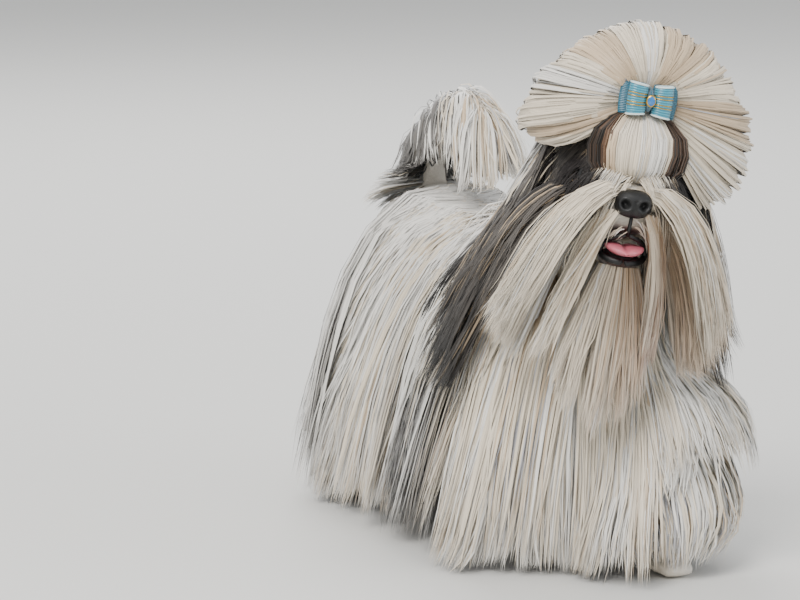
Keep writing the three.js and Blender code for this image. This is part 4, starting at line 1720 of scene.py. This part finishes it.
    def tail(self, count: int, seed: int) -> None:
        """The plume, falling to both sides and forward over the back.

        Args:
            count: number of strands.
            seed: of its random draws.
        """
        draw = Draw(seed)
        low = draw.flat(count) < 0.38
        u = np.where(low, draw.flat(count, 0.02, 0.5), draw.flat(count, 0.3, 1.0))
        side = np.where(draw.flat(count) < 0.55, -1.0, 1.0) * draw.flat(count, 0.0, 1.0) ** 0.8
        along = unit(curve_at(TAIL_LINE, np.minimum(u + 0.02, 1)) - curve_at(TAIL_LINE, u - 0.02))
        up = unit(-np.cross(np.broadcast_to(vec(1, 0, 0), along.shape), along))
        rising = np.where(low, draw.flat(count, -0.5, 0.6), 0.8)[:, None]
        starts = xyz(side * 0.7, 0.0, 0.0) + up * 0.55 + along * rising + draw.normal((count, 3), 0.2)
        pull = xyz(side * 0.22, -0.4, -1.0)
        lengths = draw.around(table([(0.02, 62), (0.45, 60), (0.6, 70), (1, 96)], u), 0.14, count)
        flow = Flow(pull, 0.26, (1.0, 26.0), BODY)
        paths = drape(curve_at(TAIL_LINE, u), starts, lengths, flow, self.steps)
        out = unit(paths - (curve_at(TAIL_LINE, u) + vec(0, 0, -40))[:, None])
        flat = on_tile(Tile.TAIL, u, draw.flat(count))
        self.keep(
            "coat_tail", Coat.TAIL, paths, None, flat, Section(2.0, 0.2), Lock(32, 0.45, 4.0), draw, out,
        )
        dark = (side < -0.1) & (u > 0.3) & (u + draw.normal((count,), 0.1) < 0.62)
        hair = self.made["coat_tail"][-1]
        shade = draw.flat(int(dark.sum()), 0.3, 1.8)[:, None, None]
        hair.colours[dark] = hair.colours[dark] * 0.15 + DARK * shade

    def face(self, count: int, seed: int) -> None:
        """Short hair round the eyes, on the brow and the bridge of the nose.

        Args:
            count: number of strands.
            seed: of its random draws.
        """
        draw = Draw(seed)
        local = xyz(draw.flat(count, -42, 42), draw.flat(count, -72, -8), draw.flat(count, -34, 40))
        world = SKULL.settled(from_head(local), 3)
        local = into_head(world)
        near = np.minimum(*[np.linalg.norm(local - EYE_AT[s], axis=-1) for s in (-1, 1)])
        front = np.linalg.norm((local - vec(0, -84, -14)) / vec(15, 12, 12), axis=-1)
        mouth = np.linalg.norm((local - MOUTH_AT) / (MOUTH_RADII + 3), axis=-1)
        keep = (near > EYE_RADIUS + 1.5) & (front > 1) & (mouth > 1)
        world, local, near = world[keep], local[keep], near[keep]
        side = np.sign(local[:, 0])
        away = SKULL.outward(world)
        lie = turned(xyz(side * 0.9, 0.3, -0.7))
        starts = away * 0.3 + lie + draw.normal((len(side), 3), 0.2)
        lengths = draw.around(table([(12, 12), (24, 24), (60, 34)], near), 0.25, len(side))
        lip = np.linalg.norm((local - vec(0, -76, -38)) / vec(20, 16, 14), axis=-1) < 1
        lengths = np.where(lip, 5.0, lengths)
        flow = Flow(turned(vec(0, 0.1, -1)[None]), 0.25, (0.5, 5.0), SKULL)
        paths = drape(world, starts, lengths, flow, 4)
        flat = on_tile(Tile.FACE, (local[:, 0] + 45) / 90, (local[:, 2] + 40) / 90)
        brow = (np.abs(local[:, 0]) > 13) & (local[:, 2] > -12)
        for kind, pick in (
            (Coat.EYE, near < 23),
            (Coat.CHEEK, (near >= 23) & brow),
            (Coat.HEAD, (near >= 23) & ~brow),
        ):
            self.keep(
                "coat_face", kind, paths[pick], SKULL, flat[pick],
                Section(0.9), Lock(8, 0.4, 0.5, 0.05, 0.4), draw,
            )

    def all(self) -> dict[str, list[Hair]]:
        """Every region.

        Returns:
            The strands of each piece, by its name.
        """
        self.torso("coat_torso_right", -1, 3800, 1)
        self.torso("coat_torso_left", 1, 2300, 2)
        self.ring("coat_chest", 3400, 3, -116, (-98, 98), Tile.CHEST)
        self.ring("coat_rump", 2400, 4, 140, (82, 278), Tile.RUMP)
        self.neck(1500, 5)
        self.nape(1700, 28)
        self.leg("coat_forelegs", LEGS["foreleg_left"], 1750, 6, Tile.LEG, 0.0)
        self.leg("coat_forelegs", LEGS["foreleg_right"], 850, 7, Tile.LEG, 0.5)
        self.leg("coat_hindlegs", LEGS["hindleg_right"], 600, 8, Tile.LEG_HIND, 0.0)
        self.leg("coat_hindlegs", LEGS["hindleg_left"], 600, 9, Tile.LEG_HIND, 0.5)
        self.topknot(2950, 10)
        self.forelock(1350, 11)
        self.moustache(1150, 13)
        self.whiskers(700, 27)
        self.cheeks(700, 17)
        self.beard(1000, 20)
        self.ear("coat_ear_right", -1, 1600, 21)
        self.ear("coat_ear_left", 1, 1300, 22)
        self.tail(2000, 23)
        self.face(3900, 24)
        return self.made


# Face and bow.
class Face:
    """Eyes, lids, nose, lips and tongue.

    Args:
        place: from millimetres to the frame.
    """

    def __init__(self, place: Place) -> None:
        self.place = place

    def piece(self, name: str, shape: tuple[Array, Array], finish: bpy.types.Material) -> bpy.types.Object:
        """A head-frame shape as an object."""
        return mesh_object(name, self.place.to_frame(from_head(shape[0])), shape[1], finish)

    def build(self, wet: bpy.types.Material, eye: bpy.types.Material, iris: bpy.types.Material,
              flesh: bpy.types.Material) -> list[bpy.types.Object]:
        """All pieces of the face.

        Args:
            wet: finish of the nose, lips and lids.
            eye: finish of the eyeball.
            iris: finish of the iris.
            flesh: finish of the tongue.

        Returns:
            The objects.
        """
        pieces = []
        for name, side in SIDES.items():
            at = EYE_AT[side]
            ball = self.piece(f"eyeball_{name}", ellipsoid(at, vec(1, 1, 1) * EYE_RADIUS, 40, 28), eye)
            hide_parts(f"eye_{name}")
            look = unit(vec(side * 0.25, -1, 0.02))
            ring = np.linspace(0, 2 * math.pi, 36, endpoint=False)
            across = unit(np.cross(look, vec(0, 0, 1)))
            up = np.cross(across, look)
            round_eye = across[None] * np.cos(ring)[:, None] * 8.6 + up[None] * np.sin(ring)[:, None] * 7.2
            rim = at + look * 8.2 + round_eye
            pieces.append(self.piece(f"lids_{name}", tube(rim, np.full(36, 1.9), 10, True), wet))
            disc = at + look * 5.6
            pieces.append(self.piece(f"iris_{name}", ellipsoid(disc, vec(5.2, 5.2, 5.2), 28, 18), iris))
            pieces.append(ball)
        pieces.append(self.nose(wet))
        pieces.append(self.lips(wet))
        pieces.append(self.tongue(flesh))
        return pieces

    def nose(self, finish: bpy.types.Material) -> bpy.types.Object:
        """The nose pad, broad and blunt, with its cleft and nostrils.

        Args:
            finish: its material.

        Returns:
            The new object.
        """
        points, tris = ellipsoid(vec(0, 0, 0), vec(1, 1, 1), 72, 48)
        p = np.sign(points) * np.abs(points) ** 0.82
        size = vec(14, 10, 10.5)
        p = p * size
        front = p[:, 1] < 0
        for side in (-1, 1):
            away = np.hypot((p[:, 0] - side * 6.8) / 3.6, (p[:, 2] + 1.0 - np.abs(p[:, 0]) * 0.12) / 3.4)
            p[:, 1] += front * 5.5 * np.exp(-(away**2) * 1.6)
            rim = np.exp(-((away - 1.35) ** 2) * 7)
            p[:, 1] -= front * 0.9 * rim
        p[:, 1] += front * 2.0 * np.exp(-((p[:, 0] / 1.3) ** 2)) * (p[:, 2] < 3)
        made = self.piece("nose_pad", (p + vec(0, -80, -14), tris), finish)
        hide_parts("nose")
        return made

    def lips(self, finish: bpy.types.Material) -> bpy.types.Object:
        """The dark rim of the open mouth, with the line that runs up to the nose.

        Args:
            finish: their material.

        Returns:
            The new object.
        """
        ring = np.linspace(0, 2 * math.pi, 48, endpoint=False)
        x, z = 17 * np.cos(ring), 10 * np.sin(ring)
        path = xyz(x, -78 + 0.035 * x**2, -48.5 + z - 0.012 * x**2)
        rim = tube(path, 2.2 + 0.4 * np.sin(ring) * -1, 12, True)
        line = path_of([0, -78, -38], [0, -80, -33], [0, -81, -27], [0, -81, -23])
        seam = tube(line, vec(1.8, 1.5, 1.4, 1.4), 10)
        return self.piece("lips", joined([rim, seam]), finish)

    def tongue(self, finish: bpy.types.Material) -> bpy.types.Object:
        """The tongue, a soft slab with a groove down its middle.

        Args:
            finish: its material.

        Returns:
            The new object.
        """
        points, tris = ellipsoid(vec(0, 0, 0), vec(1, 1, 1), 48, 28)
        p = np.sign(points) * np.abs(points) ** 0.9 * vec(15, 19, 4.2)
        p[:, 2] -= (p[:, 2] > 0) * 1.8 * np.exp(-((p[:, 0] / 2.2) ** 2))
        p[:, 2] += 0.012 * p[:, 0] ** 2
        made = self.piece("tongue_flesh", (p + vec(0, -70, -50), tris), finish)
        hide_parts("tongue")
        return made


BOW_AT = vec(2, -66, 62)


class Bow:
    """The ribbon bow: front and back loops, a band round the hair, and a stone.

    Args:
        place: from millimetres to the frame.
    """

    def __init__(self, place: Place) -> None:
        self.place = place

    def loop(self, name: str, side: int, out: float, deep: float, tall: float, back: float,
             finish: bpy.types.Material) -> bpy.types.Object:
        """One loop of ribbon, a flattened ring of cloth.

        Args:
            name: of the piece.
            side: -1 or 1.
            out: its width.
            deep: its depth.
            tall: its height.
            back: how far behind the knot it lies.
            finish: its material.

        Returns:
            The new object.
        """
        steps, rows = 72, 18
        a = np.linspace(0, 2 * math.pi, steps, endpoint=False)
        v = np.linspace(-0.5, 0.5, rows)
        pinch = 1 - 0.10 * (2 * v) ** 2
        x = np.outer(np.cos(a), pinch) * out / 2
        y = np.outer(np.sin(a), pinch) * deep / 2
        z = np.broadcast_to(v * tall, x.shape) * (0.86 + 0.14 * np.abs(side * np.cos(a) + 1)[:, None] / 2)
        middle = BOW_AT + vec(side * (out / 2 + 2.0), back, 0)
        outer = xyz(x, y, z) + middle
        inner = xyz(x * (1 - 1.8 / out), y * (1 - 1.8 / deep), z) + middle
        points = np.concatenate([outer.reshape(-1, 3), inner.reshape(-1, 3)])
        uv = np.stack(
            [np.broadcast_to((a / (2 * math.pi) * math.pi * (out + deep) / 2 * MM)[:, None], x.shape),
             np.broadcast_to((v * tall * MM)[None], x.shape)], -1
        ).reshape(-1, 2)
        tris, shell = [], steps * rows
        for i in range(steps):
            j = (i + 1) % steps
            for r in range(rows - 1):
                p, q = i * rows + r, j * rows + r
                tris += [[p, q, q + 1], [p, q + 1, p + 1]]
                tris += [[shell + p, shell + q + 1, shell + q], [shell + p, shell + p + 1, shell + q + 1]]
            for r, turn in ((0, 1), (rows - 1, -1)):
                p, q = i * rows + r, j * rows + r
                tris += [[p, shell + p, q][::turn], [q, shell + p, shell + q][::turn]]
        tris = np.array(tris)
        made = mesh_object(name, self.place.to_frame(from_head(points)), tris, finish)
        layer = made.data.uv_layers.new(name="Ribbon")
        layer.data.foreach_set("uv", np.concatenate([uv, uv])[tris.ravel()].astype(np.float32).ravel())
        return made

    def piping(
        self, name: str, side: int, ends: tuple[float, ...], finish: bpy.types.Material
    ) -> bpy.types.Object:
        """Thin cords round a front loop, at shares of its height.

        Args:
            name: of the piece.
            side: -1 or 1.
            ends: shares of the height.
            finish: their material.

        Returns:
            The new object.
        """
        out, deep, tall, back = 15.0, 10.0, 24.0, 0.0
        a = np.linspace(0, 2 * math.pi, 64, endpoint=False)
        cords = []
        for end in ends:
            z = end * tall * (0.86 + 0.14 * np.abs(side * np.cos(a) + 1) / 2)
            share = 0.5 * (1 - 0.1 * (2 * end) ** 2)
            path = xyz(np.cos(a) * out * share, np.sin(a) * deep * share, z)
            thick = 0.7 if abs(end) == 0.5 else 0.4
            middle = BOW_AT + vec(side * (out / 2 + 2.0), back, 0)
            cords.append(tube(path + middle, np.full(64, thick), 8, True))
        shape = joined(cords)
        return mesh_object(name, self.place.to_frame(from_head(shape[0])), shape[1], finish)

    def build(self, pale: bpy.types.Material, teal: bpy.types.Material, cord: bpy.types.Material,
              stone: bpy.types.Material, gilt: bpy.types.Material) -> list[bpy.types.Object]:
        """All pieces of the bow.

        Args:
            pale: satin of the front loops.
            teal: satin of the back loops and band.
            cord: finish of the piping.
            stone: finish of the stone.
            gilt: finish of its mount.

        Returns:
            The objects.
        """
        made = []
        for name, side in SIDES.items():
            front = self.loop(f"ribbon_{name}", side, 15, 10, 24, 0, pale)
            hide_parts(f"bow_loop_{name}")
            back = self.loop(f"ribbon_back_{name}", side, 20, 6.4, 26, 8.6, teal)
            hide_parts(f"bow_back_{name}")
            made += [front, back, self.piping(f"piping_{name}", side, (-0.5, 0.5), cord)]
            made.append(self.piping(f"gilt_cord_{name}", side, (-0.2, -0.1, 0.1, 0.2), gilt))
        knot = ellipsoid(BOW_AT + vec(0, 5, 0), vec(3.4, 11, 9.5), 32, 20)
        band = mesh_object("bow_band", self.place.to_frame(from_head(knot[0])), knot[1], teal)
        band.data.uv_layers.new(name="Ribbon")
        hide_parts("bow_knot")
        gem = ellipsoid(BOW_AT + vec(0, -6.6, 0), vec(2.9, 1.8, 3.6), 12, 8)
        seat = ellipsoid(BOW_AT + vec(0, -5.2, 0), vec(3.8, 1.6, 4.6), 24, 14)
        jewel = mesh_object("bow_stone", self.place.to_frame(from_head(gem[0])), gem[1], stone)
        jewel.data.shade_flat()
        mount = mesh_object("bow_mount", self.place.to_frame(from_head(seat[0])), seat[1], gilt)
        made += [band, jewel, mount]
        return made


# Stage.
@dataclass(frozen=True)
class Camera:
    """The photograph's camera, as millimetres of lens and the view's angles."""

    azimuth: float = -24.0
    elevation: float = 10.0
    lens: float = 180.0
    at: tuple[float, float, float] = (-1.3666, -2.8347, 0.7383)

    def make(self, place: Place) -> bpy.types.Object:
        """The camera object.

        Args:
            place: turns millimetres into the frame.

        Returns:
            The camera object.
        """
        data = bpy.data.cameras.new("camera")
        data.lens, data.sensor_width = self.lens, 36.0
        data.clip_start, data.clip_end = 0.05, 60.0
        made = bpy.data.objects.new("camera", data)
        made.location = Vector(self.at) + Vector(place.shift)
        a, e = math.radians(self.azimuth), math.radians(self.elevation)
        look = Vector((-math.sin(a) * math.cos(e), math.cos(a) * math.cos(e), -math.sin(e)))
        made.rotation_mode = "QUATERNION"
        made.rotation_quaternion = look.to_track_quat("-Z", "Y")
        bpy.context.scene.collection.objects.link(made)
        bpy.context.scene.camera = made
        return made


@dataclass(frozen=True)
class Lamp:
    """A soft area light."""

    name: str
    at: tuple[float, float, float]
    power: float
    size: float
    colour: tuple[float, float, float] = (1.0, 1.0, 1.0)

    def make(self) -> bpy.types.Object:
        """The light object, aimed at the dog.

        Returns:
            The light object.
        """
        data = bpy.data.lights.new(self.name, "AREA")
        data.energy, data.size, data.color = self.power, self.size, self.colour
        made = bpy.data.objects.new(self.name, data)
        made.location = self.at
        made.rotation_mode = "QUATERNION"
        made.rotation_quaternion = (Vector(LAMPS_AIM) - Vector(self.at)).to_track_quat("-Z", "Y")
        bpy.context.scene.collection.objects.link(made)
        return made


LAMPS = (
    Lamp("key", (-1.6, -1.6, 2.6), 110.0, 1.4, (1.0, 0.98, 0.95)),
    Lamp("fill", (2.4, -2.2, 1.4), 34.0, 2.4, (0.93, 0.97, 1.0)),
    Lamp("rim", (0.6, 2.4, 2.2), 70.0, 1.6),
)


def make_stage() -> None:
    """Floor, lights and the pale world."""
    n = Nodes("studio_floor")
    grain = n.add("ShaderNodeTexNoise", None, Vector=n.place_mm(4.0), Scale=1.0, Detail=2.0)
    n.shade(Base_Color=(*linear("D9D8D4"), 1), Roughness=0.8, Normal=n.bump(grain.outputs[0], 0.1, 0.2))
    size = FLOOR_HALF
    corners = path_of([-size, -size, 0], [size, -size, 0], [size, size, 0], [-size, size, 0])
    floor = mesh_object("studio_floor", corners, np.array([[0, 1, 2], [0, 2, 3]]), n.material)
    world = bpy.data.worlds.new("studio")
    world.use_nodes = True
    world.node_tree.nodes["Background"].inputs["Color"].default_value = (*linear("EDEFF2"), 1)
    world.node_tree.nodes["Background"].inputs["Strength"].default_value = 0.95
    bpy.context.scene.world = world
    for lamp in LAMPS:
        lamp.make()


def main() -> None:
    """Builds the looks and hands them to the frame."""
    logging.basicConfig(level=logging.INFO, format="%(message)s")
    place = Place()
    markings = Markings()
    Camera().make(place)
    make_stage()
    silk = Silk("silky_hair").make()
    pieces = [Skin(place, markings).build(Hide("skin_with_undercoat").make())]
    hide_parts(*FLESH)
    mesher = StrandMesh(place)
    low, high = (place.to_dog(corner) for corner in CAD_BOX)
    reach = vec(*SOFT_REACH)
    coat = CoatMaker(markings, Limits(low - reach, high + reach))
    for number, (name, parts) in enumerate(coat.all().items()):
        made = mesher.build(name, parts, silk, Draw(FIRST_COAT_SEED + number))
        spread = np.concatenate([part.paths.reshape(-1, 3) for part in parts])
        LOG.info("%s from %s to %s", name, spread.min(0).round(), spread.max(0).round())
        pieces.append(made)
    pieces += Face(place).build(
        Leather("moist_black_leather", "030303", 0.5, wet=0.08).make(),
        Smooth("dark_brown_eye", "1B0F0A", 0.06, coat=1.0).make(),
        Smooth("iris", "3A2114", 0.2).make(),
        Smooth("moist_tongue", "C86A78", 0.35, subsurface=0.15, coat=0.5).make(),
    )
    pieces += Bow(place).build(
        # each satin's second colour is the painted shade in its rib grooves
        Satin("blue_satin", "3F9FB5", "176C85", 1.9).make(),
        Satin("teal_satin", "14708A", "0A4A60").make(),
        Smooth("pale_cord", "D9E6E4", 0.5).make(),
        Smooth("blue_stone", "1E6FB4", 0.08, coat=1.0).make(),
        Smooth("gilt", "C9A24A", 0.3, metallic=1.0).make(),
    )
    for piece in pieces:
        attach(piece, "root")


if __name__ == "__main__":
    main()
